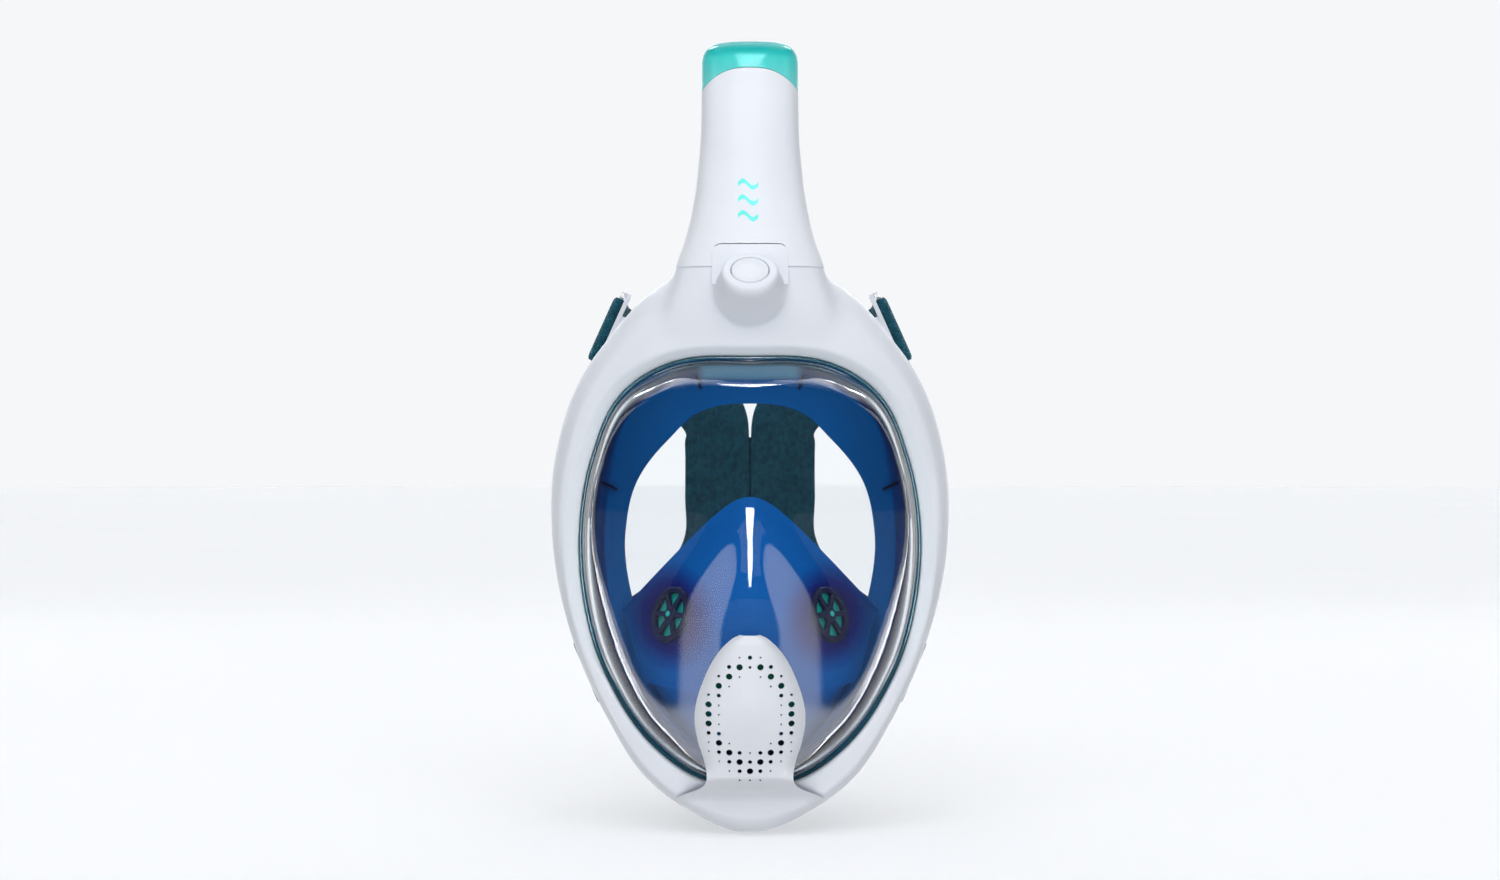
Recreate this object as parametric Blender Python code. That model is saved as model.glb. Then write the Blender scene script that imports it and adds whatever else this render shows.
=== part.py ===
"""Full-face snorkel mask, built as the separate pieces that it comes apart into.

Lengths are millimetres in this file and become metres when a mesh is made.
X is to the wearer's right as seen from the front, +Y points from the window back to the face,
+Z runs up the snorkel, and the origin is the middle of the face seal.
"""
import math

import bmesh
import bpy
from mathutils import Matrix, Vector

MM = 0.001
GAP = 0.3                     # clearance between pieces that touch
STATIONS = 44                 # points round each ring-shaped piece

# Driving dimensions of the mask
FRAME_WALL = 2.4              # moulded wall of the frames
FRAME_DEPTH = 21.0            # front frame, front to back
NECK_DEPTH = 12.0             # extra depth where the snorkel plugs in
CLAMP_THICK = 6.0             # rear frame
LENS_THICK = 2.2
GASKET_THICK = 1.2
SKIRT_THICK = 2.2
POCKET_THICK = 1.8
BEAK_HEIGHT = 14.0            # nose ridge of the lens
COVER_THICK = 2.2
CHIN_FLAT = -125.0            # height of the flat under the chin

# Snorkel
TUBE_WALL = 2.0
TUBE_LEAN = 0.15              # backward lean per unit height
TUBE_BASE = 137.3             # shoulder that rests on the neck
SPIGOT_END = 121.0
CAP_TOP = 244.0

# Button, valves and straps
BUTTON_RADIUS = 8.5
BUTTON_TILT = math.radians(46)
INTAKE_RADIUS = 13.0
CHIN_RADIUS = 17.0
BAND_WIDTH = 33.0
BAND_THICK = 1.8

# Outlines: right-hand (x, z) points from the bottom to the top, mirrored for the left
FRAME_OUTLINE = [(0, -126.5), (29, -116), (48.5, -102), (67, -75), (81, -47), (90, -19), (95, 14),
                 (92.4, 52), (83.5, 80), (65.5, 107), (45, 128), (30, 135), (0, 137)]
WINDOW_OUTLINE = [(0, -104), (24, -100), (45, -86), (66.5, -56), (78.5, -19), (80.5, 16), (74.5, 49),
                  (61.5, 77), (39, 92), (0, 95.5)]
FACE_OUTLINE = [(0, -95), (21, -88), (39, -70), (50, -45), (57, -20), (60.5, 12), (55, 36),
                (39, 57), (24, 70), (0, 74)]

# Front of the rim: share of the way from window to outer edge, height behind frame_y
RIM_SECTION = [(0.0, 3.0), (0.22, -1.0), (0.6, -1.6), (0.88, 2.5), (1.0, 9.0)]

# Snorkel sections: height, half width, half depth
TUBE_SECTIONS = [(137.3, 34.5, 18.5), (143, 32.5, 18.0), (149, 30.4, 17.5), (160, 27.6, 16.8),
                 (172, 25.5, 16.2), (183, 24.3, 16.0), (200, 23.0, 15.8), (232, 22.7, 15.4)]
# Chin cover: height, half width
COVER_WIDTHS = [(-31, 4.5), (-33, 8.5), (-38, 13.5), (-46, 18.5), (-58, 23.2), (-69, 25.2), (-80, 23.8),
                (-90, 20.8), (-98, 19.8), (-103, 23), (-107, 31), (-110, 34), (-114, 30.5), (-120, 18), (-124, 4)]

WHITE, CLEAR, TEAL = (0.80, 0.83, 0.87), (0.75, 0.85, 0.90), (0.02, 0.12, 0.18)
BLUE, NAVY, TURQUOISE = (0.01, 0.08, 0.24), (0.01, 0.02, 0.07), (0.08, 0.60, 0.58)
STEEL = (0.55, 0.56, 0.58)


def clear_scene():
    for item in list(bpy.data.objects):
        bpy.data.objects.remove(item, do_unlink=True)


def material(name, colour, roughness, metallic):
    made = bpy.data.materials.new(name)
    made.use_nodes = True
    shader = made.node_tree.nodes["Principled BSDF"]
    shader.inputs["Base Color"].default_value = (*colour, 1.0)
    shader.inputs["Roughness"].default_value = roughness
    shader.inputs["Metallic"].default_value = metallic
    return made


def add_mesh(name, points, faces, colour, roughness=0.4, metallic=0.0, origin=(0, 0, 0)):
    """One object from millimetre points; its origin sits at the given world point."""
    origin = Vector(origin)
    mesh = bpy.data.meshes.new(name)
    mesh.from_pydata([(Vector(point) - origin) * MM for point in points], [], faces)
    builder = bmesh.new()
    builder.from_mesh(mesh)
    bmesh.ops.recalc_face_normals(builder, faces=builder.faces)
    bmesh.ops.triangulate(builder, faces=builder.faces)
    builder.to_mesh(mesh)
    builder.free()
    mesh.shade_smooth()
    mesh.set_sharp_from_angle(angle=math.radians(35))
    mesh.materials.append(material(name + "_material", colour, roughness, metallic))
    item = bpy.data.objects.new(name, mesh)
    item.location = origin * MM
    bpy.context.scene.collection.objects.link(item)
    return item


def combine(target, tool, operation):
    """Leave a Boolean on the target and turn the tool into a hidden guide."""
    modifier = target.modifiers.new(tool.name, "BOOLEAN")
    modifier.operation = operation
    modifier.solver = "EXACT"
    modifier.object = tool
    tool.hide_render = True
    tool.display_type = "WIRE"


# Mesh builders -------------------------------------------------------------------------------

def skin(loops, wrap=False):
    """Faces over closed loops of equal length; the ends close on centre points unless they wrap."""
    count = len(loops[0])
    points = [point for loop in loops for point in loop]
    faces = []
    pairs = len(loops) if wrap else len(loops) - 1
    for row in range(pairs):
        low, high = row * count, (row + 1) % len(loops) * count
        for column in range(count):
            after = (column + 1) % count
            faces.append((low + column, low + after, high + after, high + column))
    if not wrap:
        for start in (0, (len(loops) - 1) * count):
            loop = points[start:start + count]
            points.append(tuple(sum(axis) / count for axis in zip(*loop)))
            centre = len(points) - 1
            faces += [(start + column, start + (column + 1) % count, centre) for column in range(count)]
    return points, faces


def plate(front, back):
    """A closed sheet from two grids of points with the same rows and columns."""
    rows, columns = len(front), len(front[0])
    points = [point for grid in (front, back) for row in grid for point in row]
    offset = rows * columns
    faces = []
    for row in range(rows - 1):
        for column in range(columns - 1):
            corner = row * columns + column
            quad = (corner, corner + 1, corner + columns + 1, corner + columns)
            faces += [quad, tuple(offset + index for index in reversed(quad))]
    rim = [column for column in range(columns)]
    rim += [row * columns + columns - 1 for row in range(1, rows)]
    rim += [(rows - 1) * columns + column for column in range(columns - 2, -1, -1)]
    rim += [row * columns for row in range(rows - 2, 0, -1)]
    for here, after in zip(rim, rim[1:] + rim[:1]):
        faces.append((here, after, after + offset, here + offset))
    return points, faces


def frame_along(axis):
    """A rotation whose Z column is the axis and whose X column stays level."""
    axis = Vector(axis).normalized()
    side = Vector((0, 0, 1)).cross(axis)
    side = side.normalized() if side.length > 1e-6 else Vector((1, 0, 0))
    return Matrix((side, axis.cross(side), axis)).transposed()


def turned(centre, axis, profile, sides=24):
    """A turned solid: profile is (radius, height along the axis), from one end to the other."""
    turn = frame_along(axis)
    loops = []
    for radius, height in profile:
        angles = [2 * math.pi * step / sides for step in range(sides)]
        loops.append([Vector(centre) + turn @ Vector((radius * math.cos(a), radius * math.sin(a), height))
                      for a in angles])
    return loops


def block(centre, size, axis=(0, 0, 1)):
    """A box of the given size, its third side along the axis."""
    turn = frame_along(axis)
    half = Vector(size) / 2
    corners = [(-1, -1), (1, -1), (1, 1), (-1, 1)]
    loops = [[Vector(centre) + turn @ Vector((x * half.x, y * half.y, level * half.z)) for x, y in corners]
             for level in (-1, 1)]
    points = loops[0] + loops[1]
    sides = [(i, (i + 1) % 4, (i + 1) % 4 + 4, i + 4) for i in range(4)]
    return points, [(0, 3, 2, 1), (4, 5, 6, 7)] + sides


# Shape formulas ------------------------------------------------------------------------------

def smoothstep(low, high, value):
    share = min(1.0, max(0.0, (value - low) / (high - low)))
    return share * share * (3 - 2 * share)


def along(table, key):
    """Values beside a key in a short table, smooth between its rows."""
    rows = sorted(table)
    if key <= rows[0][0]:
        return rows[0][1:]
    for low, high in zip(rows, rows[1:]):
        if key <= high[0]:
            share = (key - low[0]) / (high[0] - low[0])
            return tuple(a + (b - a) * share for a, b in zip(low[1:], high[1:]))
    return rows[-1][1:]


def outline(points):
    """Smooth closed outline: a function of angle, 0 at the bottom and pi at the top."""
    half = [(math.atan2(x, -z), math.hypot(x, z)) for x, z in points]
    knots = [(-half[1][0], half[1][1])] + half + [(2 * math.pi - half[-2][0], half[-2][1])]

    def radius(angle):
        angle = abs((angle + math.pi) % (2 * math.pi) - math.pi)
        index = 1
        while index < len(knots) - 3 and angle > knots[index + 1][0]:
            index += 1
        (a0, r0), (a1, r1), (a2, r2), (a3, r3) = knots[index - 1:index + 3]
        span = a2 - a1
        share = (angle - a1) / span
        slope1 = (r2 - r0) / (a2 - a0) * span
        slope2 = (r3 - r1) / (a3 - a1) * span
        cube, square = share ** 3, share ** 2
        return (r1 * (2 * cube - 3 * square + 1) + slope1 * (cube - 2 * square + share)
                + r2 * (3 * square - 2 * cube) + slope2 * (cube - square))
    return radius


frame_edge = outline(FRAME_OUTLINE)
window_edge = outline(WINDOW_OUTLINE)
face_edge = outline(FACE_OUTLINE)


def polar(radius, angle):
    return radius * math.sin(angle), -radius * math.cos(angle)


def frame_y(x, z):
    """Front of the frame rim."""
    return -32.0 + 0.0045 * x * x + 0.0005 * z * z


def frame_back(x, z):
    return frame_y(x, z) + FRAME_DEPTH + NECK_DEPTH * smoothstep(85, 130, z)


def rim_rise(share):
    """Section of the rim from the window (0) to the outer edge (1), relative to frame_y."""
    for (low, start), (high, end) in zip(RIM_SECTION, RIM_SECTION[1:]):
        if share <= high:
            return start + (end - start) * (max(share, low) - low) / (high - low)
    return RIM_SECTION[-1][1]


def beak(x, z):
    """Height of the nose ridge over the plain lens."""
    width = 9.0 + 17.0 * smoothstep(25, -35, z)
    rise = smoothstep(32, -12, z) * (1 - 0.75 * smoothstep(-60, -104, z))
    return BEAK_HEIGHT * rise * math.exp(-(x / width) ** 2)


def lens_y(x, z):
    return -45.0 + 0.0032 * x * x + 0.0008 * (z - 20) ** 2 - beak(x, z)


def face_y(angle):
    """Depth of the lip that seals on the face."""
    x, _ = polar(face_edge(angle), angle)
    return 8.0 + 0.0085 * x * x


def angles():
    return [2 * math.pi * step / STATIONS for step in range(STATIONS)]


def rim_loop(radius, depth):
    """One closed loop; radius and depth are functions of the angle, depth also of x and z."""
    loop = []
    for angle in angles():
        x, z = polar(radius(angle), angle)
        loop.append((x, depth(angle, x, z), z))
    return loop


def oval(half_width, half_depth, z, sides=32, lift=None):
    """Snorkel cross-section at a height, leaning back with the tube."""
    loop = []
    for step in range(sides):
        turn = 2 * math.pi * step / sides
        loop.append(oval_point(half_width, half_depth, z if lift is None else lift(turn), turn))
    return loop


def oval_point(half_width, half_depth, z, turn):
    power = 2 / 2.6
    x = math.copysign(abs(math.cos(turn)) ** power, math.cos(turn)) * half_width
    y = math.copysign(abs(math.sin(turn)) ** power, math.sin(turn)) * half_depth
    return x, tube_centre(z) + y, z


def tube_centre(z):
    return -15.0 + TUBE_LEAN * (z - 140.0)


def cap_line(turn):
    """Height of the joint between tube and cap: low at the sides, arched front and back."""
    return 225.0 - 5.0 * math.cos(2 * turn)


BUTTON_AXIS = Vector((0, -math.cos(BUTTON_TILT), math.sin(BUTTON_TILT)))
BUTTON_FACE = Vector((0, -42.5, 134.0))


# Frames, lens and skirt ----------------------------------------------------------------------

def build_front_frame():
    """U-shaped ring, open to the back, with the snorkel neck and the button boss on its brow."""
    def at(share, rise, inset=0.0):
        def radius(angle):
            inner, outer = window_edge(angle) + inset, frame_edge(angle) - inset
            return inner + (outer - inner) * share
        return rim_loop(radius, lambda angle, x, z: frame_y(x, z) + rise)

    def back(share, inset=0.0):
        outer = at(share, 0.0, inset)
        return [(x, frame_back(x, z), z) for x, _, z in outer]

    wall = FRAME_WALL
    loops = [back(0.0)] + [at(share, rise) for share, rise in RIM_SECTION] + [back(1.0)]
    loops += [back(1.0, wall), at(1.0, 9.0 + wall, wall), at(0.6, wall - 1.0, wall),
              at(0.1, wall + 0.6, wall), back(0.0, wall)]
    frame = add_mesh("front_frame", *skin(loops, wrap=True), WHITE, 0.35)

    neck = [oval(46, 10, 103), oval(40, 14, 118), oval(35, 18, 130), oval(34.3, 18.4, TUBE_BASE - GAP)]
    combine(frame, add_mesh("neck_guide", *skin(neck), WHITE), "UNION")
    top = BUTTON_FACE
    base = [(20.0 * math.cos(turn), -26.0, 119.5 + 14.5 * math.sin(turn))
            for turn in (2 * math.pi * step / 32 for step in range(32))]
    boss = [base] + turned(top, BUTTON_AXIS, [(13.4, -3.0), (13.0, -0.8), (12.2, 0)], 32)
    combine(frame, add_mesh("boss_guide", *skin(boss), WHITE), "UNION")
    combine(frame, add_mesh("brow_tongue", *brow_tongue(), WHITE), "UNION")
    socket = [oval(27.0, 8.0, 108), oval(30.0, 12.0, 120), oval(30.0, 12.0, 146)]
    combine(frame, add_mesh("socket_cutter", *skin(socket), WHITE), "DIFFERENCE")
    duct = block((0, -8.0, 110.0), (92, 8, 8))
    combine(frame, add_mesh("duct_cutter", *duct, WHITE), "DIFFERENCE")
    well = turned(top, BUTTON_AXIS, [(BUTTON_RADIUS + GAP, -10), (BUTTON_RADIUS + GAP, 8)], 28)
    combine(frame, add_mesh("button_well_cutter", *skin(well), WHITE), "DIFFERENCE")
    chin = block((0, -10, CHIN_FLAT - 5), (60, 60, 10))
    combine(frame, add_mesh("chin_flat_cutter", *chin, WHITE), "DIFFERENCE")
    bore = turned(top, BUTTON_AXIS, [(2.1, -25), (2.1, -9)], 12)
    combine(frame, add_mesh("hook_bore_cutter", *skin(bore), WHITE), "DIFFERENCE")


def brow_tongue():
    """Tongue of the brow that fills the notch in the snorkel's front shell."""
    front = []
    for z in (131.0, 137.0, 141.5, 146.7):
        width, depth = along(TUBE_SECTIONS, z)
        front.append([])
        for column in range(9):
            x = 17.2 * (column - 4) / 4
            reach = depth * (1 - (abs(x) / width) ** 2.6) ** (1 / 2.6)
            front[-1].append((x, tube_centre(z) - reach, z))
    back = [[(x, y + 2.4, z) for x, y, z in row] for row in front]
    return plate(front, back)


def build_rear_frame():
    """Ring that clamps the skirt and closes the air ducts of the front frame."""
    def inner(angle):
        return window_edge(angle) - 0.5

    def outer(angle):
        return frame_edge(angle) - 1.5

    def depth(extra):
        return lambda angle, x, z: frame_back(x, z) + GAP + extra

    loops = [rim_loop(inner, depth(0)), rim_loop(outer, depth(0)), rim_loop(outer, depth(CLAMP_THICK * 0.6)),
             rim_loop(lambda a: outer(a) - 3, depth(CLAMP_THICK)), rim_loop(inner, depth(CLAMP_THICK))]
    add_mesh("rear_frame", *skin(loops, wrap=True), WHITE, 0.4)


def lens_edge(angle):
    return window_edge(angle) - GASKET_THICK - 2 * GAP


def build_lens():
    """Tray-shaped window with a nose ridge, and a hole for the chin valve."""
    def surface(share, offset):
        return rim_loop(lambda a: lens_edge(a) * share, lambda a, x, z: lens_y(x, z) + offset)

    def wall(inset, depth):
        return rim_loop(lambda a: lens_edge(a) - inset, lambda a, x, z: depth(x, z))

    thick = LENS_THICK
    shares = (0.12, 0.28, 0.44, 0.6, 0.76, 0.9)
    outer = [surface(share, 0.0) for share in shares]
    outer += [wall(1.6, lambda x, z: lens_y(x, z) + 1.0), wall(0.0, lambda x, z: lens_y(x, z) + 4.0)]
    outer += [wall(0.0, lambda x, z: frame_y(x, z) + 8.0)]
    inner = [wall(thick, lambda x, z: frame_y(x, z) + 8.0), wall(thick, lambda x, z: lens_y(x, z) + 5.0)]
    inner += [surface(share * 0.985, thick) for share in reversed(shares)]
    lens = add_mesh("lens", *skin(outer + inner), CLEAR, 0.05)
    hole = turned(chin_valve_centre(), chin_valve_axis(), [(CHIN_RADIUS + GAP, -12), (CHIN_RADIUS + GAP, 12)])
    combine(lens, add_mesh("chin_valve_cutter", *skin(hole), CLEAR), "DIFFERENCE")


def build_gasket():
    """Soft strip between the lens wall and the frame."""
    def radius(offset):
        return lambda angle: window_edge(angle) - GAP - offset

    loops = []
    for offset, rise in ((0, 1.2), (0, 7.0), (GASKET_THICK, 7.0), (GASKET_THICK, 1.2)):
        loops.append(rim_loop(radius(offset), lambda a, x, z, rise=rise: frame_y(x, z) + rise))
    add_mesh("lens_gasket", *skin(loops, wrap=True), TEAL, 0.6)


def skirt_profile(angle):
    """Cross-section of the face skirt: flange, wall, and the lip that rolls in to the face."""
    window, face, back = window_edge(angle), face_edge(angle), face_y(angle)
    x, z = polar(window, angle)
    front = frame_y(x, z) + 9.0
    thick = SKIRT_THICK
    outside = [(window - 1.2, front), (window - 1.6, back - 14), (window - 4.5, back - 4),
               (face + 8, back + 1), (face, back)]
    inside = [(face + 0.6, back - thick), (face + 7, back - thick - 1), (window - 7.5, back - 6.5),
              (window - 1.6 - thick, back - 15), (window - 1.2 - thick, front)]
    return outside + inside


def build_skirt():
    sections = []
    for angle in angles():
        sections.append([(*polar(radius, angle), y) for radius, y in skirt_profile(angle)])
    loops = [[(section[row][0], section[row][2], section[row][1]) for section in sections]
             for row in range(len(sections[0]))]
    add_mesh("face_skirt", *skin(loops, wrap=True), BLUE, 0.5)


# Nose pocket and valves ----------------------------------------------------------------------

def pocket_point(u, v):
    """Surface of the nose pocket: u runs cheek to cheek, v from the top lip (0) to the fold over the
    chin (1) and on to its lower edge on the skirt (1.6)."""
    if v > 1:
        return chin_point(u, (v - 1) / 0.6)
    x = u * (52.0 - 8.0 * v)
    top_z = 30.0 - 1.12 * (math.hypot(x, 12.0) - 12.0)
    top_y = -9.0 + 27.0 * abs(u) ** 1.35
    z = top_z + (-58.0 - top_z) * v
    low_y = -41.0 + 37.0 * abs(u) ** 1.8
    y = top_y + (low_y - top_y) * math.sin(v * math.pi / 2) ** 0.8
    return Vector((x, y, z))


def chin_point(u, share):
    """Part of the pocket under the fold, which slopes back to the chin of the skirt."""
    fold = pocket_point(u, 1)
    angle = u * 0.62
    x, z = polar(face_edge(angle) + 2.0, angle)
    edge = Vector((x, face_y(angle) - SKIRT_THICK - 5.2, z))
    place = fold.lerp(edge, share)
    place.y = fold.y + (edge.y - fold.y) * share ** 1.5
    return place


def pocket_frame(u, v):
    """Point and forward normal of the nose pocket."""
    step = 0.01
    here = pocket_point(u, v)
    across = pocket_point(u + step, v) - pocket_point(u - step, v)
    down = pocket_point(u, v + step) - pocket_point(u, v - step)
    normal = across.cross(down).normalized()
    return here, normal if normal.y < 0 else -normal


def build_pocket():
    across = 21
    heights = [0.011] + [row / 9 for row in range(1, 10)] + [1.12, 1.24, 1.36, 1.48, 1.59]
    front, back = [], []
    for v in heights:
        front.append([])
        back.append([])
        for column in range(across):
            u = -1 + 2 * column / (across - 1)
            here, normal = pocket_frame(u * 0.985 + 0.004, v)
            front[-1].append(here)
            back[-1].append(here - normal * POCKET_THICK)
    pocket = add_mesh("nose_pocket", *plate(front, back), BLUE, 0.5)
    for side in (-1, 1):
        centre, axis = intake_place(side)
        hole = turned(centre, axis, [(INTAKE_RADIUS + GAP, -8), (INTAKE_RADIUS + GAP, 8)])
        combine(pocket, add_mesh(f"intake_cutter_{side}", *skin(hole), BLUE), "DIFFERENCE")


def intake_place(side):
    centre, axis = pocket_frame(0.76 * abs(side), 0.43)
    return Vector((side * centre.x, centre.y, centre.z)), Vector((side * axis.x, axis.y, axis.z))


def chin_valve_centre():
    return Vector((0, lens_y(0, -67) + 4.4, -67.0))


def chin_valve_axis():
    return Vector((0, -0.96, -0.28)).normalized()


def build_valve(name, centre, axis, radius, bars, seat_colour, flap_colour, flap_side):
    """A spoked seat and its mushroom flap; flap_side is +1 in front of the seat, -1 behind it."""
    rim = [(radius - 2.6, -1.5), (radius, -1.5), (radius, 1.5), (radius - 2.6, 1.5)]
    seat = add_mesh(name.replace("flap", "valve_seat"), *skin(turned(centre, axis, rim), wrap=True),
                    seat_colour, 0.5)
    turn = frame_along(axis)
    for step in range(bars):
        spin = math.pi * step / bars
        half = Vector((math.cos(spin), math.sin(spin), 0)) * (radius - 1.6)
        across = Vector((-math.sin(spin), math.cos(spin), 0)) * 0.8
        corners = [half + across, half - across, -half - across, -half + across]
        deep = 1.1 - 0.07 * step
        loops = [[centre + turn @ (corner + Vector((0, 0, level))) for corner in corners]
                 for level in (-deep, deep)]
        faces = [(0, 3, 2, 1), (4, 5, 6, 7)] + [(i, (i + 1) % 4, (i + 1) % 4 + 4, i + 4) for i in range(4)]
        bar = add_mesh(f"{name}_bar_{step}", loops[0] + loops[1], faces, seat_colour)
        combine(seat, bar, "UNION")
    hub = add_mesh(f"{name}_hub", *skin(turned(centre, axis, [(3.0, -1.3), (3.0, 1.3)], 14)), seat_colour)
    combine(seat, hub, "UNION")
    bore = add_mesh(f"{name}_bore", *skin(turned(centre, axis, [(1.5, -5), (1.5, 5)], 10)), seat_colour)
    combine(seat, bore, "DIFFERENCE")

    near, far = 1.5 + GAP, 2.4 + GAP
    profile = [(1.1, -1.0), (1.1, near), (radius - 0.9, near), (radius - 1.3, far), (1.5, far + 0.4)]
    profile = [(size, height * flap_side) for size, height in profile]
    add_mesh(name, *skin(turned(centre, axis, profile)), flap_colour, 0.5, origin=centre)


def cover_y(x, z):
    """Front of the chin cover: over the lens at first, then down onto the chin of the frame."""
    over_lens = lens_y(x, z) - 8.6
    turn = math.atan2(x, -z)
    share = (math.hypot(x, z) - window_edge(turn)) / (frame_edge(turn) - window_edge(turn))
    over_frame = frame_y(x, z) + rim_rise(share) - COVER_THICK - 2.4
    return over_lens + (over_frame - over_lens) * smoothstep(-100, -113, z)


def build_chin_cover():
    across, down = 13, 18
    low, high = COVER_WIDTHS[-1][0], COVER_WIDTHS[0][0]
    front, back = [], []
    for row in range(down):
        z = high + (low - high) * (row / (down - 1)) ** 1.1
        width = along(COVER_WIDTHS, z)[0]
        front.append([])
        back.append([])
        for column in range(across):
            u = -1 + 2 * column / (across - 1)
            drop = 5.2 * abs(u) ** 6 * (1 - smoothstep(-92, -101, z))
            y = cover_y(u * width, z) + drop
            front[-1].append((u * width, y, z))
            back[-1].append((u * width * 0.97, y + COVER_THICK, z))
    cover = add_mesh("chin_cover", *plate(front, back), WHITE, 0.4)
    cutter_points, cutter_faces = [], []
    for x, z in grille_holes():
        points, faces = skin(turned((x, cover_y(x, z), z), (0, -1, 0), [(1.4, -5), (1.4, 5)], 6))
        cutter_faces += [tuple(index + len(cutter_points) for index in face) for face in faces]
        cutter_points += points
    combine(cover, add_mesh("grille_cutter", cutter_points, cutter_faces, WHITE), "DIFFERENCE")


def grille_holes():
    """The larger holes of the grille, on an oval band round a closed middle."""
    holes = []
    for step in range(18):
        turn = 2 * math.pi * step / 18
        holes.append((16.5 * math.sin(turn), -68.0 - 23.0 * math.cos(turn)))
    return holes


# Snorkel -------------------------------------------------------------------------------------

def build_tube_shell(name, front):
    """Half of the snorkel tube with its half of the plug that enters the neck."""
    first = math.pi if front else 0.0
    count = 15
    clear = 0.012
    turns = [first + clear + (math.pi - 2 * clear) * step / (count - 1) for step in range(count)]
    levels = [(SPIGOT_END, 29.4, 11.4), (TUBE_BASE, 29.4, 11.4)] + TUBE_SECTIONS[:-1] + [(None, 22.7, 15.4)]
    outer, inner = [], []
    for index, (z, width, depth) in enumerate(levels):
        shoulder = index == 2        # solid ring that the tube stands on
        inside_width = width - (7.1 if shoulder else TUBE_WALL)
        row_out, row_in = [], []
        for turn in turns:
            height = z if z is not None else cap_line(turn) - GAP
            row_out.append(oval_point(width, depth, height, turn))
            inside_depth = depth - (9.1 if shoulder else TUBE_WALL)
            row_in.append(oval_point(inside_width, inside_depth, height, turn))
        outer.append(row_out)
        inner.append(row_in)
    shell = add_mesh(name, *plate(outer, inner), WHITE, 0.35)
    if front:
        notch = block((0, -43.0, 137.0), (35.0, 30.0, 20.0))
        combine(shell, add_mesh("brow_notch_cutter", *notch, WHITE), "DIFFERENCE")


def build_intake_duct():
    """Middle air channel of the snorkel, from the neck to the dry-top valve."""
    loops = []
    for half_x, half_y, flip in ((9.0, 8.6, False), (7.6, 7.2, True)):
        heights = (204.7, 123.0) if flip else (123.0, 204.7)
        for z in heights:
            corners = ((-1, -1), (1, -1), (1, 1), (-1, 1))
            loops.append([(sx * half_x, tube_centre(z) + sy * half_y, z) for sx, sy in corners])
    add_mesh("intake_duct", *skin(loops, wrap=True), WHITE, 0.5)


def build_snorkel_gasket():
    """Soft ring round the plug, under the shoulder of the tube."""
    low, high = TUBE_BASE - 3.0, TUBE_BASE - 1.2
    rings = [oval(29.6, 11.6, low), oval(29.9, 11.9, low), oval(29.9, 11.9, high), oval(29.6, 11.6, high)]
    add_mesh("snorkel_gasket", *skin(rings, wrap=True), NAVY, 0.6)


def build_top_cap():
    """Translucent dome over the dry-top valve, with vents at the back."""
    wall = 1.8
    outer = [oval(22.7, 15.4, 0, 32, cap_line), oval(22.5, 15.3, 234), oval(20.8, 13.8, 239.4),
             oval(16.5, 10.4, 242.6), oval(9.0, 5.0, CAP_TOP)]
    inner = [oval(8.0, 4.2, CAP_TOP - wall), oval(15.6, 9.4, 240.8), oval(19.0, 12.2, 238.2),
             oval(20.7, 13.5, 233.5), oval(20.8, 13.5, 0, 32, cap_line)]
    cap = add_mesh("top_cap", *skin_shell(outer + inner), TURQUOISE, 0.2)
    for step in range(3):
        vent = block(((step - 1) * 9.0, 14.0, 236.4), (6.4, 16.0, 2.4))
        combine(cap, add_mesh(f"vent_cutter_{step}", *vent, TURQUOISE), "DIFFERENCE")


def skin_shell(loops):
    """A dome open at its rim: the middle closes on centre points, the first and last loops join."""
    half = len(loops) // 2
    count = len(loops[0])
    points = [point for loop in loops for point in loop]
    faces = []
    for row in range(len(loops)):
        if row == half - 1:
            continue
        low, high = row * count, (row + 1) % len(loops) * count
        for column in range(count):
            after = (column + 1) % count
            faces.append((low + column, low + after, high + after, high + column))
    for row in (half - 1, half):
        start = row * count
        points.append(tuple(sum(axis) / count for axis in zip(*points[start:start + count])))
        centre = len(points) - 1
        faces += [(start + column, start + (column + 1) % count, centre) for column in range(count)]
    return points, faces


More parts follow.
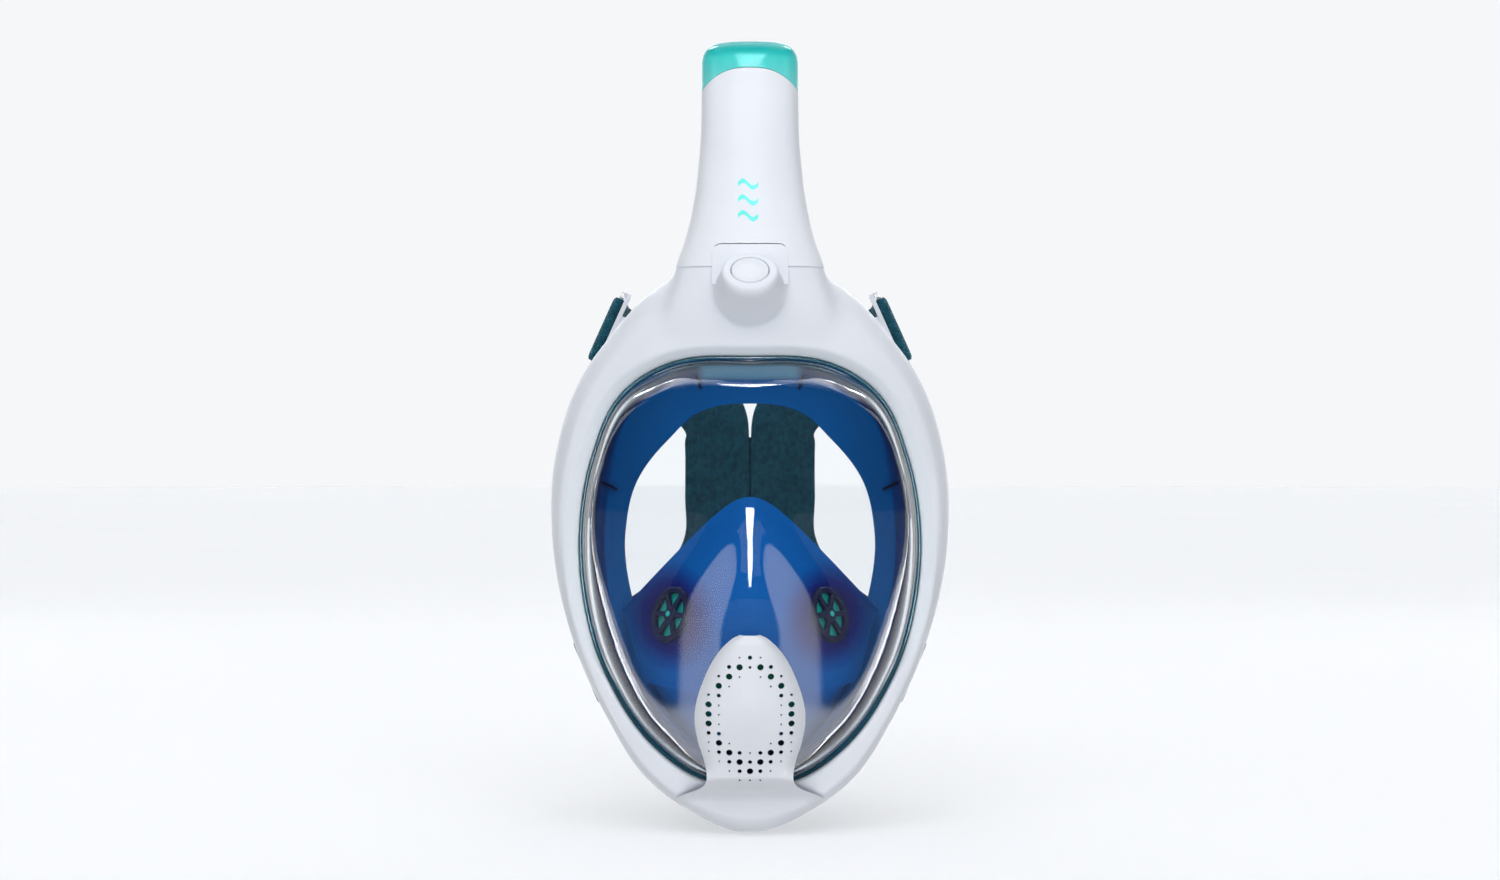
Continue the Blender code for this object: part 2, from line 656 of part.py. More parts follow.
def build_dry_top():
    """Cage, float, seal and seat that shut the intake when the snorkel dips under."""
    y = tube_centre(219)
    cage = add_mesh("float_cage", *skin([oval(20.0, 12.6, 205.0), oval(20.0, 12.6, 207.4)]), WHITE, 0.5)
    for name, x, width in (("left", -14.3, 5.4), ("right", 14.3, 5.4)):
        port = block((x, y, 206), (width, 8.6, 8.0))
        combine(cage, add_mesh(f"port_cutter_{name}", *port, WHITE), "DIFFERENCE")
    for name, side in (("front", -1), ("back", 1)):
        port = block((0, y + side * 6.0, 206), (11.0, 4.0, 8.0))
        combine(cage, add_mesh(f"port_cutter_{name}", *port, WHITE), "DIFFERENCE")
    for index in range(4):
        x, side = (8.7, -8.7)[index % 2], (8.9, -8.9)[index // 2]
        post = turned((x, y + side, 216.5), (0, 0, 1), [(0.9, -9.8), (0.9, 9.8)], 8)
        combine(cage, add_mesh(f"post_guide_{index}", *skin(post), WHITE), "UNION")
    origin = (0, y, 208.0)
    sides = ((6.4, 0.0), (7.2, 1.0), (7.2, 11.0), (6.4, 12.0))
    loops = []
    for half, height in sides:
        corners = ((-1, -1), (1, -1), (1, 1), (-1, 1))
        loops.append([(sx * half, y + sy * half, 208.0 + height) for sx, sy in corners])
    add_mesh("float", *skin(loops), (0.9, 0.9, 0.9), 0.6, origin=origin)
    seal = turned((0, y, 220.3), (0, 0, 1), [(6.8, 0.0), (7.0, 0.8), (6.0, 1.6)])
    add_mesh("float_seal", *skin(seal), NAVY, 0.6, origin=origin)
    ring = [(5.0, 0.0), (8.5, 0.0), (10.9, 0.8), (10.9, 2.4), (5.0, 2.4)]
    add_mesh("intake_seat", *skin(turned((0, y + 0.6, 230.6), (0, 0, 1), ring), wrap=True), WHITE, 0.5)
    for name, side in (("left", -1), ("right", 1)):
        flap = block((side * 14.3, y, 208.1), (7.6, 10.6, 0.8))
        add_mesh(f"exhaust_flap_{name}", *flap, TURQUOISE, 0.5, origin=(side * 10.4, y, 207.7))


# Release button ------------------------------------------------------------------------------

def build_button():
    """Dished push button, its hook and the coil spring that returns it."""
    cup = [(6.9, -6.0), (BUTTON_RADIUS, -6.0), (BUTTON_RADIUS, -0.4), (BUTTON_RADIUS - 0.6, 0.2),
           (BUTTON_RADIUS - 2.2, 0.2), (BUTTON_RADIUS - 4.0, -0.5), (2.0, -0.8)]
    under = [(2.0, -2.4), (6.9, -2.4)]
    loops = turned(BUTTON_FACE, BUTTON_AXIS, cup + under, 28)
    points, faces = cup_faces(loops, 6)
    add_mesh("release_button", points, faces, WHITE, 0.35, origin=BUTTON_FACE)
    hook = turned(BUTTON_FACE, BUTTON_AXIS, [(1.2, -15.5), (1.7, -14.9), (1.7, -2.7)], 12)
    add_mesh("latch_hook", *skin(hook), WHITE, 0.5, origin=BUTTON_FACE)
    build_spring()


def cup_faces(loops, crown):
    """Close a cup: the crown loop and the one after it end on centre points."""
    count = len(loops[0])
    points = [point for loop in loops for point in loop]
    faces = []
    for row in range(len(loops)):
        if row == crown:
            continue
        low, high = row * count, (row + 1) % len(loops) * count
        faces += [(low + c, low + (c + 1) % count, high + (c + 1) % count, high + c) for c in range(count)]
    for row in (crown, crown + 1):
        start = row * count
        points.append(sum((Vector(point) for point in points[start:start + count]), Vector()) / count)
        centre = len(points) - 1
        faces += [(start + c, start + (c + 1) % count, centre) for c in range(count)]
    return points, faces


def build_spring():
    """Open coil between the button and the floor of its well."""
    turns, per_turn, sides = 3, 12, 6
    coil, wire = 4.2, 0.4
    low, high = -9.2, -3.2
    turn = frame_along(BUTTON_AXIS)
    loops = []
    for step in range(turns * per_turn + 1):
        angle = 2 * math.pi * step / per_turn
        height = low + (high - low) * step / (turns * per_turn)
        out = Vector((math.cos(angle), math.sin(angle), 0))
        centre = out * coil + Vector((0, 0, height))
        ring = []
        for corner in range(sides):
            spin = 2 * math.pi * corner / sides
            offset = out * math.cos(spin) * wire + Vector((0, 0, math.sin(spin) * wire))
            ring.append(BUTTON_FACE + turn @ (centre + offset))
        loops.append(ring)
    add_mesh("button_spring", *skin(loops), STEEL, 0.3, 1.0)


# Straps --------------------------------------------------------------------------------------

ANCHORS = {   # centre of the slot on the right-hand side, and the outward direction of the edge
    "upper": (Vector((69.5, 35.5, 110.0)), Vector((0.91, 0, 0.41))),
    "lower": (Vector((77.0, 37.0, -55.5)), Vector((0.92, 0, -0.39))),
}
HEAD_ROUTE = [   # centre line of the right-hand band round the head, with the way its face looks
    ((66.0, 76.0, 106.5), (0.86, 0.33, 0.38)),
    ((52.0, 93.0, 98.0), (0.60, 0.76, 0.25)),
    ((34.0, 103.0, 85.0), (0.25, 0.95, 0.12)),
    ((18.9, 106.0, 69.0), (0.05, 1.0, 0.0)),
    ((16.8, 106.5, 54.0), (0.0, 1.0, 0.0)),
    ((16.7, 106.5, 28.0), (0.0, 1.0, 0.0)),
    ((17.0, 106.0, 5.0), (0.0, 1.0, 0.0)),
    ((26.0, 104.5, -14.0), (0.12, 0.99, -0.03)),
    ((45.0, 96.5, -32.0), (0.52, 0.84, -0.15)),
    ((63.5, 82.0, -44.0), (0.78, 0.56, -0.28)),
    ((76.5, 60.0, -53.0), (0.82, 0.50, -0.28)),
]


def mirrored(vector, side):
    vector = Vector(vector)
    return Vector((side * vector.x, vector.y, vector.z))


def anchor_turn(level, side, back, out):
    """Point on the loop round an anchor's rear bar, in its own back and outward directions."""
    centre, outward = ANCHORS[level]
    return mirrored(centre + outward * out + Vector((0, back, 0)), side)


def band_route(side):
    """Points and face directions along one strap, from the folded upper end to the lower one."""
    loop = [(26, 0.4), (10, 0.9), (4.5, 2.3), (1.0, 2.3), (-0.7, 1.4), (-1.2, 0.0), (-0.7, -1.4),
            (1.0, -2.3), (5.0, -2.3), (14, -2.1), (27, -1.9)]
    route = []
    upper = mirrored(ANCHORS["upper"][1], side)
    for back, out in loop:
        route.append((anchor_turn("upper", side, back, out), upper))
    for point, normal in HEAD_ROUTE:
        route.append((mirrored(point, side), mirrored(normal, side)))
    lower = mirrored(ANCHORS["lower"][1], side)
    ends = [(12, -2.1), (5.0, -2.3), (1.0, -2.3), (-0.7, -1.4), (-1.2, 0.0), (-0.7, 1.4), (1.0, 2.3),
            (4.5, 2.3), (12, 0.7)]
    for back, out in ends:
        route.append((anchor_turn("lower", side, back, out), lower))
    return route


def band_frames(route, side):
    """Centre, across and through vectors at each point of a strap."""
    frames = []
    for index, (point, normal) in enumerate(route):
        before = route[max(0, index - 1)][0]
        after = route[min(len(route) - 1, index + 1)][0]
        run = (after - before).normalized()
        across = edge_direction(index, len(route), normal, run, side)
        frames.append((point, across, run.cross(across).normalized()))
    return frames


def edge_direction(index, count, normal, run, side):
    """Across the band: along the frame's edge at the anchors, level over the slider's straight stretch,
    and square to the route elsewhere."""
    if index < 11:
        outward = mirrored(ANCHORS["upper"][1], side)
        return outward.cross(Vector((0, 1, 0))).normalized()
    if index >= count - 9:
        outward = mirrored(ANCHORS["lower"][1], side)
        return outward.cross(Vector((0, -1, 0))).normalized()
    if index >= count - 11:
        return slider_frame(side)[1]
    return normal.cross(run).normalized()


def build_band(name, side):
    loops = []
    for point, across, through in band_frames(band_route(side), side):
        wide, thin = across * BAND_WIDTH / 2, through * BAND_THICK / 2
        loops.append([point + wide + thin, point + wide - thin, point - wide - thin, point - wide + thin])
    add_mesh(name, *skin(loops), TEAL, 0.85)


def build_anchor(level, side):
    """Slotted bar, clipped to the back of the frame, that the strap is looped round."""
    centre, outward = ANCHORS[level]
    centre, outward = mirrored(centre, side), mirrored(outward, side)
    along_edge = outward.cross(Vector((0, 1, 0))).normalized()
    back = Vector((0, 1, 0))
    root = -3.4      # the front bar stands inside the strap's loop, next to the frame
    loops = []
    for half_long, low, high, faces_out in ((20.0, -7.0, 4.2, (-1.0, 1.0)), (17.5, -3.4, 1.0, (1.0, -1.0))):
        corners = [(-half_long, low, root), (half_long, low, root), (half_long, high, 0), (-half_long, high, 0)]
        for level_out in faces_out:
            loops.append([centre + along_edge * a + back * b + outward * (shift + level_out)
                          for a, b, shift in corners])
    name = f"strap_anchor_{level}_{'left' if side < 0 else 'right'}"
    anchor = add_mesh(name, *skin(loops, wrap=True), WHITE, 0.4)
    front, rear = [], []
    for out in (-10.0, root + 0.6):
        front.append([])
        rear.append([])
        for a in (-9.0, 9.0):
            place = centre + along_edge * a + outward * out
            seat = frame_back(place.x, place.z) + GAP + CLAMP_THICK + 0.9
            front[-1].append((place.x, seat, place.z))
            rear[-1].append((place.x, centre.y - 3.7, place.z))
    combine(anchor, add_mesh(f"{name}_foot", *plate(front, rear), WHITE), "UNION")


def slider_frame(side):
    """Along and across the straight stretch of a lower strap."""
    start, end = mirrored(HEAD_ROUTE[-2][0], side), mirrored(HEAD_ROUTE[-1][0], side)
    run = (end - start).normalized()
    return run, mirrored(HEAD_ROUTE[-2][1], side).cross(run).normalized()


def build_slider(side):
    """Tension slider on the straight stretch of a lower strap."""
    run, across = slider_frame(side)
    through = run.cross(across)
    centre = mirrored(HEAD_ROUTE[-2][0], side) + run * 7.0
    loops = []
    for half_long, half_thick in ((19.5, 3.2), (17.0, 1.3)):
        for level in ((-4.0, 4.0) if half_long == 19.5 else (4.0, -4.0)):
            corners = ((-1, -1), (1, -1), (1, 1), (-1, 1))
            loops.append([centre + run * level + across * half_long * a + through * half_thick * b
                          for a, b in corners])
    add_mesh(f"strap_slider_{'left' if side < 0 else 'right'}", *skin(loops, wrap=True), NAVY, 0.4,
             origin=centre)


def build_seam():
    """Tape sewn down the middle of the head panel, joining both bands."""
    add_mesh("strap_seam_tape", *block((0, 108.3, 29.0), (9.0, 1.0, 58.0)), TEAL, 0.9)


def build():
    clear_scene()
    build_front_frame()
    build_rear_frame()
    build_lens()
    build_gasket()
    build_skirt()
    build_pocket()
    for name, side in (("left", -1), ("right", 1)):
        centre, axis = intake_place(side)
        build_valve(f"intake_flap_{name}", centre, axis, INTAKE_RADIUS, 3, NAVY, TURQUOISE, -1)
    build_valve("chin_flap", chin_valve_centre(), chin_valve_axis(), CHIN_RADIUS, 3, TURQUOISE, NAVY, 1)
    build_chin_cover()
    build_tube_shell("snorkel_front_shell", True)
    build_tube_shell("snorkel_rear_shell", False)
    build_intake_duct()
    build_snorkel_gasket()
    build_top_cap()
    build_dry_top()
    build_button()
    for name, side in (("left", -1), ("right", 1)):
        build_band(f"strap_band_{name}", side)
        build_slider(side)
        for level in ANCHORS:
            build_anchor(level, side)
    build_seam()


build()
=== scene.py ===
"""Looks of the full-face snorkel mask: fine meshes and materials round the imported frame.

Lengths are millimetres here and become metres when a mesh is made. +Y points from the window to
the face, +Z runs up the snorkel.
"""
import math

import bmesh
import bpy
import numpy as np
from mathutils import Matrix, Vector


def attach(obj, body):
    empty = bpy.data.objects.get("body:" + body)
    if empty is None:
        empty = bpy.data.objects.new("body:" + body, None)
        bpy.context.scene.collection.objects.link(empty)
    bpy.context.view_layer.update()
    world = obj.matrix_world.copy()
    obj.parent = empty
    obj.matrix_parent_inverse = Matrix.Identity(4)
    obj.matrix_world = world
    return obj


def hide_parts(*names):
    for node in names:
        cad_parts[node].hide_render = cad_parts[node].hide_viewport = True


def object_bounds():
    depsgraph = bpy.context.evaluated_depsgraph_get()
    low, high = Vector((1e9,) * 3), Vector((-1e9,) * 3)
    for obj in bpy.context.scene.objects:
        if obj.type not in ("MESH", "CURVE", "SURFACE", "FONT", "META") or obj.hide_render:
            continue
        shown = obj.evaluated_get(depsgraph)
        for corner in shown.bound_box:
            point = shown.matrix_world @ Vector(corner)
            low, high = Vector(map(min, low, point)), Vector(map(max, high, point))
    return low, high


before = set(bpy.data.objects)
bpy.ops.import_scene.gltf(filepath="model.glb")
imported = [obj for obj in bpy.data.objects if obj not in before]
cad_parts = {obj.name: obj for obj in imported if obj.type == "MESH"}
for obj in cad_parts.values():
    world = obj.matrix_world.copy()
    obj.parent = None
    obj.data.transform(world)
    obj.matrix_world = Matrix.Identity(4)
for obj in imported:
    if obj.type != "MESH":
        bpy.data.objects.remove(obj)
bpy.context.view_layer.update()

MM = 0.001
GAP = 0.3                # clear air between neighbouring pieces
RELAX_STEP = 0.5
SOFT_EDGE_ANGLE = 35
OVAL_POWER = 2.6         # roundness of the snorkel's cross-section

# The same driving dimensions as the frame that this stands on
FRAME_FRONT, FRAME_DEPTH, NECK_DEPTH = -32.0, 21.0, 12.0
LENS_FRONT = -45.0
LENS_THICK, GASKET_THICK, SKIRT_THICK, POCKET_THICK, COVER_THICK = 2.2, 1.2, 2.2, 1.8, 2.2
BEAK_HEIGHT = 14.0
TUBE_BASE, SPIGOT_END, TUBE_TOP, CAP_TOP, TUBE_LEAN = 137.3, 121.0, 219.5, 244.0, 0.15
TUBE_TOP_WIDTH, TUBE_TOP_DEPTH, TUBE_WALL = 22.7, 15.4, 2.0
BUTTON_RADIUS, BUTTON_TILT = 8.5, math.radians(46)
INTAKE_RADIUS, CHIN_RADIUS, CHIN_VALVE_Z = 13.0, 17.0, -67.0
BAND_WIDTH, BAND_THICK = 33.0, 1.8

FRAME_OUTLINE = [(0, -126.5), (29, -116), (48.5, -102), (67, -75), (81, -47), (90, -19), (95, 14),
                 (92.4, 52), (83.5, 80), (65.5, 107), (45, 128), (30, 135), (0, 137)]
WINDOW_OUTLINE = [(0, -104), (24, -100), (45, -86), (66.5, -56), (78.5, -19), (80.5, 16), (74.5, 49),
                  (61.5, 77), (39, 92), (0, 95.5)]
FACE_OUTLINE = [(0, -95), (21, -88), (39, -70), (50, -45), (57, -20), (60.5, 12), (55, 36),
                (39, 57), (24, 70), (0, 74)]
RIM_SECTION = [(0.0, 3.0), (0.22, -1.0), (0.6, -1.6), (0.88, 2.5), (1.0, 9.0)]
TUBE_SECTIONS = [(137.3, 34.5, 18.5), (143, 32.5, 18.0), (149, 30.4, 17.5), (160, 27.6, 16.8),
                 (172, 25.5, 16.2), (183, 24.3, 16.0), (200, 23.0, 15.8), (232, 22.7, 15.4)]
COVER_WIDTHS = [(-31, 4.5), (-33, 8.5), (-38, 13.5), (-46, 18.5), (-58, 23.2), (-69, 25.2), (-80, 23.8),
                (-90, 20.8), (-98, 19.8), (-103, 23), (-107, 31), (-110, 34), (-114, 30.5), (-120, 18),
                (-124, 4)]

# Hole sizes of the grille, row by row from the top: L, M, s and t from large to tiny
GRILLE = ["...tMt...", "..MLsLM..", ".sLt.tLs.", ".Lt...tL.", "sM.....Ms", "Lt.....tL", "Lt.....tL",
          "Lt.....tL", "MM.....MM", "tLt...tLt", "tMLMtMLMt", ".tMLMLMt.", "..tMLMt..", "...ttt..."]
HOLE_SIZES = {"L": 1.45, "M": 0.95, "s": 0.65, "t": 0.42}
HOLE_PITCH_X, HOLE_PITCH_Z, HOLE_TOP = 4.67, 4.4, -40.5

CAMERA_DISTANCE, CAMERA_HEIGHT, FOCAL_LENGTH, SENSOR_WIDTH = 1.2, 0.0566, 61.1, 36.0


# Numbers and outlines ------------------------------------------------------------------------

def smoothstep(low, high, value):
    """0 at low to 1 at high with a soft start and end; low may be the larger one."""
    share = np.clip((value - low) / (high - low), 0.0, 1.0)
    return share * share * (3 - 2 * share)


def curve_through(points, count, closed=False):
    """Catmull-Rom curve: count points spread evenly over the given ones."""
    points = np.asarray(points, float)
    total = len(points)
    if closed:
        padded = np.vstack([points[-1:], points, points[:2]])
        spans = total
    else:
        padded = np.vstack([2 * points[0] - points[1], points, 2 * points[-1] - points[-2]])
        spans = total - 1
    places = np.linspace(0, spans, count, endpoint=not closed)
    index = np.minimum(places.astype(int), spans - 1)
    t = (places - index)[:, None]
    a, b, c, d = (padded[index + step] for step in range(4))
    return 0.5 * (2 * b + (c - a) * t + (2 * a - 5 * b + 4 * c - d) * t ** 2
                  + (3 * b - a - 3 * c + d) * t ** 3)


def along(table, key, columns=1):
    """Smooth values beside a key in a short table."""
    rows = np.array(sorted(table), float)
    dense = curve_through(rows, 400)
    values = [np.interp(key, dense[:, 0], dense[:, 1 + column]) for column in range(columns)]
    return values[0] if columns == 1 else values


def fold(angle):
    """The angle from the bottom, 0 to pi, the same on both sides."""
    return np.abs((angle + math.pi) % (2 * math.pi) - math.pi)


def spot(radius, angle):
    """X and Z at a radius, the angle counted from the bottom."""
    return radius * np.sin(angle), -radius * np.cos(angle)


def outline(points):
    """Smooth closed outline: a radius for each angle, 0 at the bottom and pi at the top."""
    half = [(math.atan2(x, -z), math.hypot(x, z)) for x, z in points]
    knots = [(-half[1][0], half[1][1])] + half + [(2 * math.pi - half[-2][0], half[-2][1])]
    knot_angles = np.array([knot[0] for knot in knots])
    radii = np.array([knot[1] for knot in knots])

    def radius(angle):
        angle = fold(np.asarray(angle, float))
        index = np.clip(np.searchsorted(knot_angles, angle, side="left") - 1, 1, len(knots) - 3)
        a0, a1, a2, a3 = (knot_angles[index + step] for step in (-1, 0, 1, 2))
        r0, r1, r2, r3 = (radii[index + step] for step in (-1, 0, 1, 2))
        span = a2 - a1
        t = (angle - a1) / span
        slope1, slope2 = (r2 - r0) / (a2 - a0) * span, (r3 - r1) / (a3 - a1) * span
        return (r1 * (2 * t ** 3 - 3 * t ** 2 + 1) + slope1 * (t ** 3 - 2 * t ** 2 + t)
                + r2 * (3 * t ** 2 - 2 * t ** 3) + slope2 * (t ** 3 - t ** 2))
    return radius


frame_edge, window_edge, face_edge = outline(FRAME_OUTLINE), outline(WINDOW_OUTLINE), outline(FACE_OUTLINE)


def ring_angles(count):
    return np.arange(count) * 2 * math.pi / count


def frame_y(x, z):
    return FRAME_FRONT + 0.0045 * x * x + 0.0005 * z * z


def frame_back(x, z):
    return frame_y(x, z) + FRAME_DEPTH + NECK_DEPTH * smoothstep(85, 130, z)


def beak(x, z):
    """Nose ridge of the lens."""
    width = 9.0 + 17.0 * smoothstep(25, -35, z)
    rise = smoothstep(31, -17, z) * (1 - 0.75 * smoothstep(-60, -104, z))
    return BEAK_HEIGHT * rise * np.exp(-np.abs(x / width) ** 2)


def lens_y(x, z):
    return LENS_FRONT + 0.0032 * x * x + 0.0008 * (z - 20) ** 2 - beak(x, z)


def face_y(angle):
    return 8.0 + 0.0085 * (face_edge(angle) * np.sin(angle)) ** 2


def lens_edge(angle):
    return window_edge(angle) - GASKET_THICK - 2 * GAP


def rim_rise(share):
    return along(RIM_SECTION, share)


def tube_centre(z):
    return -15.0 + TUBE_LEAN * (z - 140.0)


def cap_line(turn):
    """Height of the wavy line between the tube and its cap."""
    return 225.0 - 5.0 * np.cos(2 * turn)


def oval(half_width, half_depth, z, turn=None):
    """Snorkel cross-section at a height (or a height for each point), leaning with the tube."""
    turn = ring_angles(96) if turn is None else turn
    power = 2 / OVAL_POWER
    cos, sin = np.cos(turn), np.sin(turn)
    z = np.broadcast_to(z, turn.shape)
    x = np.sign(cos) * np.abs(cos) ** power * half_width
    y = np.sign(sin) * np.abs(sin) ** power * half_depth
    return np.stack([x, tube_centre(z) + y, z], axis=-1)


def tube_front(x, z):
    """Y of the front of the tube at a place."""
    width, depth = along(TUBE_SECTIONS, z, 2)
    return tube_centre(z) - (1 - (np.abs(x) / width) ** OVAL_POWER) ** (1 / OVAL_POWER) * depth


BUTTON_AXIS = Vector((0, -math.cos(BUTTON_TILT), math.sin(BUTTON_TILT)))
BUTTON_FACE = Vector((0, -42.5, 134.0))


def mirrored(vector, side):
    """The vector itself for side 1, its mirror image across X = 0 for side -1."""
    vector = Vector(vector)
    return Vector((side * vector.x, vector.y, vector.z))


# Mesh builders -------------------------------------------------------------------------------

def new_object(name, points, faces):
    mesh = bpy.data.meshes.new(name)
    mesh.from_pydata((np.asarray(points, float) * MM).tolist(), [], [tuple(face) for face in faces])
    builder = bmesh.new()
    builder.from_mesh(mesh)
    bmesh.ops.recalc_face_normals(builder, faces=builder.faces)
    builder.to_mesh(mesh)
    builder.free()
    item = bpy.data.objects.new(name, mesh)
    bpy.context.scene.collection.objects.link(item)
    return item


def finish_piece(item, material, body, replaces, sharp):
    """Shade, dress and attach a piece to its CAD body; edges past the sharp angle stay crisp."""
    mesh = item.data
    mesh.shade_smooth()
    mesh.set_sharp_from_angle(angle=math.radians(sharp))
    mesh.materials.clear()
    mesh.materials.append(material)
    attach(item, body)
    if replaces:
        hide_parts(*replaces)


def grid_faces(rows, columns, wrap_rows=False, wrap_columns=False, offset=0):
    row, column = np.meshgrid(np.arange(rows if wrap_rows else rows - 1),
                              np.arange(columns if wrap_columns else columns - 1), indexing="ij")
    after_row, after_column = (row + 1) % rows, (column + 1) % columns
    quads = np.stack([row * columns + column, row * columns + after_column,
                      after_row * columns + after_column, after_row * columns + column], axis=-1)
    return (quads.reshape(-1, 4) + offset).tolist()


def ring_shape(grid):
    """A closed ring from a grid of (profile, station) points, joined both ways."""
    rows, columns = grid.shape[:2]
    return grid.reshape(-1, 3), grid_faces(rows, columns, True, True)


def stack_shape(grid):
    """Closed loops one after another, the first and the last closed on centre points."""
    rows, columns = grid.shape[:2]
    points = grid.reshape(-1, 3)
    faces = grid_faces(rows, columns, False, True)
    for row in (0, rows - 1):
        points = np.vstack([points, grid[row].mean(axis=0)])
        start = row * columns
        faces += [(start + c, start + (c + 1) % columns, len(points) - 1) for c in range(columns)]
    return points, faces


def cup_shape(grid, crown):
    """A closed cup: loops up the outside to the crown's row, then down the inside from the next one."""
    rows, columns = grid.shape[:2]
    points = grid.reshape(-1, 3)
    faces = [face for face in grid_faces(rows, columns, True, True)
             if {index // columns for index in face} != {crown, crown + 1}]
    for row in (crown, crown + 1):
        points = np.vstack([points, grid[row].mean(axis=0)])
        start = row * columns
        faces += [(start + c, start + (c + 1) % columns, len(points) - 1) for c in range(columns)]
    return points, faces


def plate_shape(front, back):
    """A closed sheet from two grids of points."""
    rows, columns = front.shape[:2]
    offset = rows * columns
    points = np.vstack([front.reshape(-1, 3), back.reshape(-1, 3)])
    faces = grid_faces(rows, columns)
    faces += [tuple(reversed(face)) for face in grid_faces(rows, columns, offset=offset)]
    rim = list(range(columns)) + [row * columns + columns - 1 for row in range(1, rows)]
    rim += [(rows - 1) * columns + column for column in range(columns - 2, -1, -1)]
    rim += [row * columns for row in range(rows - 2, 0, -1)]
    faces += [(a, b, b + offset, a + offset) for a, b in zip(rim, rim[1:] + rim[:1])]
    return points, faces


def joined(*shapes):
    points, faces = [], []
    for shape_points, shape_faces in shapes:
        start = len(points)
        points += [tuple(point) for point in shape_points]
        faces += [tuple(index + start for index in face) for face in shape_faces]
    return points, faces


def frame_along(axis):
    axis = Vector(axis).normalized()
    side = Vector((0, 0, 1)).cross(axis)
    side = side.normalized() if side.length > 1e-6 else Vector((1, 0, 0))
    return Matrix((side, axis.cross(side), axis)).transposed()


def turned_grid(centre, axis, profile, sides=64):
    """Loops of a turned solid: profile is (radius, height along the axis)."""
    turn = np.array(frame_along(axis))
    angle = ring_angles(sides)
    loops = []
    for radius, height in profile:
        local = np.stack([radius * np.cos(angle), radius * np.sin(angle), np.full(sides, height)], axis=-1)
        loops.append(local @ turn.T + np.array(centre))
    return np.array(loops)


def turned_shape(centre, axis, profile, sides=64):
    return stack_shape(turned_grid(centre, axis, profile, sides))


def box_shape(centre, size, bevel, turn=np.eye(3)):
    """A box with chamfered edges."""
    hx, hy, hz = (side / 2 for side in size)
    b = bevel
    section = [(hx - b, -hy), (hx, -hy + b), (hx, hy - b), (hx - b, hy), (-hx + b, hy), (-hx, hy - b),
               (-hx, -hy + b), (-hx + b, -hy)]
    loops = []
    for level, inset in ((-hz, b), (-hz + b, 0), (hz - b, 0), (hz, b)):
        shrink_x, shrink_y = (hx - inset) / hx, (hy - inset) / hy
        local = np.array([(x * shrink_x, y * shrink_y, level) for x, y in section])
        loops.append(local @ turn.T + np.array(centre))
    return stack_shape(np.array(loops))


def bake(item):
    """Replace an object's mesh by its evaluated one and drop the modifiers."""
    graph = bpy.context.evaluated_depsgraph_get()
    mesh = bpy.data.meshes.new_from_object(item.evaluated_get(graph), depsgraph=graph)
    item.modifiers.clear()
    item.data = mesh


def cut(item, tool, operation="DIFFERENCE"):
    modifier = item.modifiers.new("cut", "BOOLEAN")
    modifier.operation = operation
    modifier.solver = "EXACT"
    modifier.object = tool
    bake(item)
    bpy.data.objects.remove(tool, do_unlink=True)


def drill(item, centre, axis, radius, reach):
    """Cut a round hole along an axis, both ways from its centre."""
    cut(item, new_object("hole", *turned_shape(centre, axis, [(radius, -reach), (radius, reach)])))


def remesh(item, voxel):
    modifier = item.modifiers.new("remesh", "REMESH")
    modifier.mode = "VOXEL"
    modifier.voxel_size = voxel * MM
    bake(item)


def vertex_points(mesh):
    points = np.empty(len(mesh.vertices) * 3)
    mesh.vertices.foreach_get("co", points)
    return points.reshape(-1, 3)


def relax(item, rounds, weight_of=None):
    """Laplacian smoothing of the vertices, stronger where weight_of says so."""
    mesh = item.data
    points = vertex_points(mesh)
    count = len(points)
    edges = np.empty(len(mesh.edges) * 2, int)
    mesh.edges.foreach_get("vertices", edges)
    a, b = edges[0::2], edges[1::2]
    degree = np.bincount(a, minlength=count) + np.bincount(b, minlength=count)
    weight = np.ones(count) if weight_of is None else weight_of(points / MM)
    for _ in range(rounds):
        total = np.stack([np.bincount(a, points[b, axis], count) + np.bincount(b, points[a, axis], count)
                          for axis in range(3)], axis=-1)
        points += (total / degree[:, None] - points) * (weight * RELAX_STEP)[:, None]
    mesh.vertices.foreach_set("co", points.ravel())
    mesh.update()


# Materials -----------------------------------------------------------------------------------

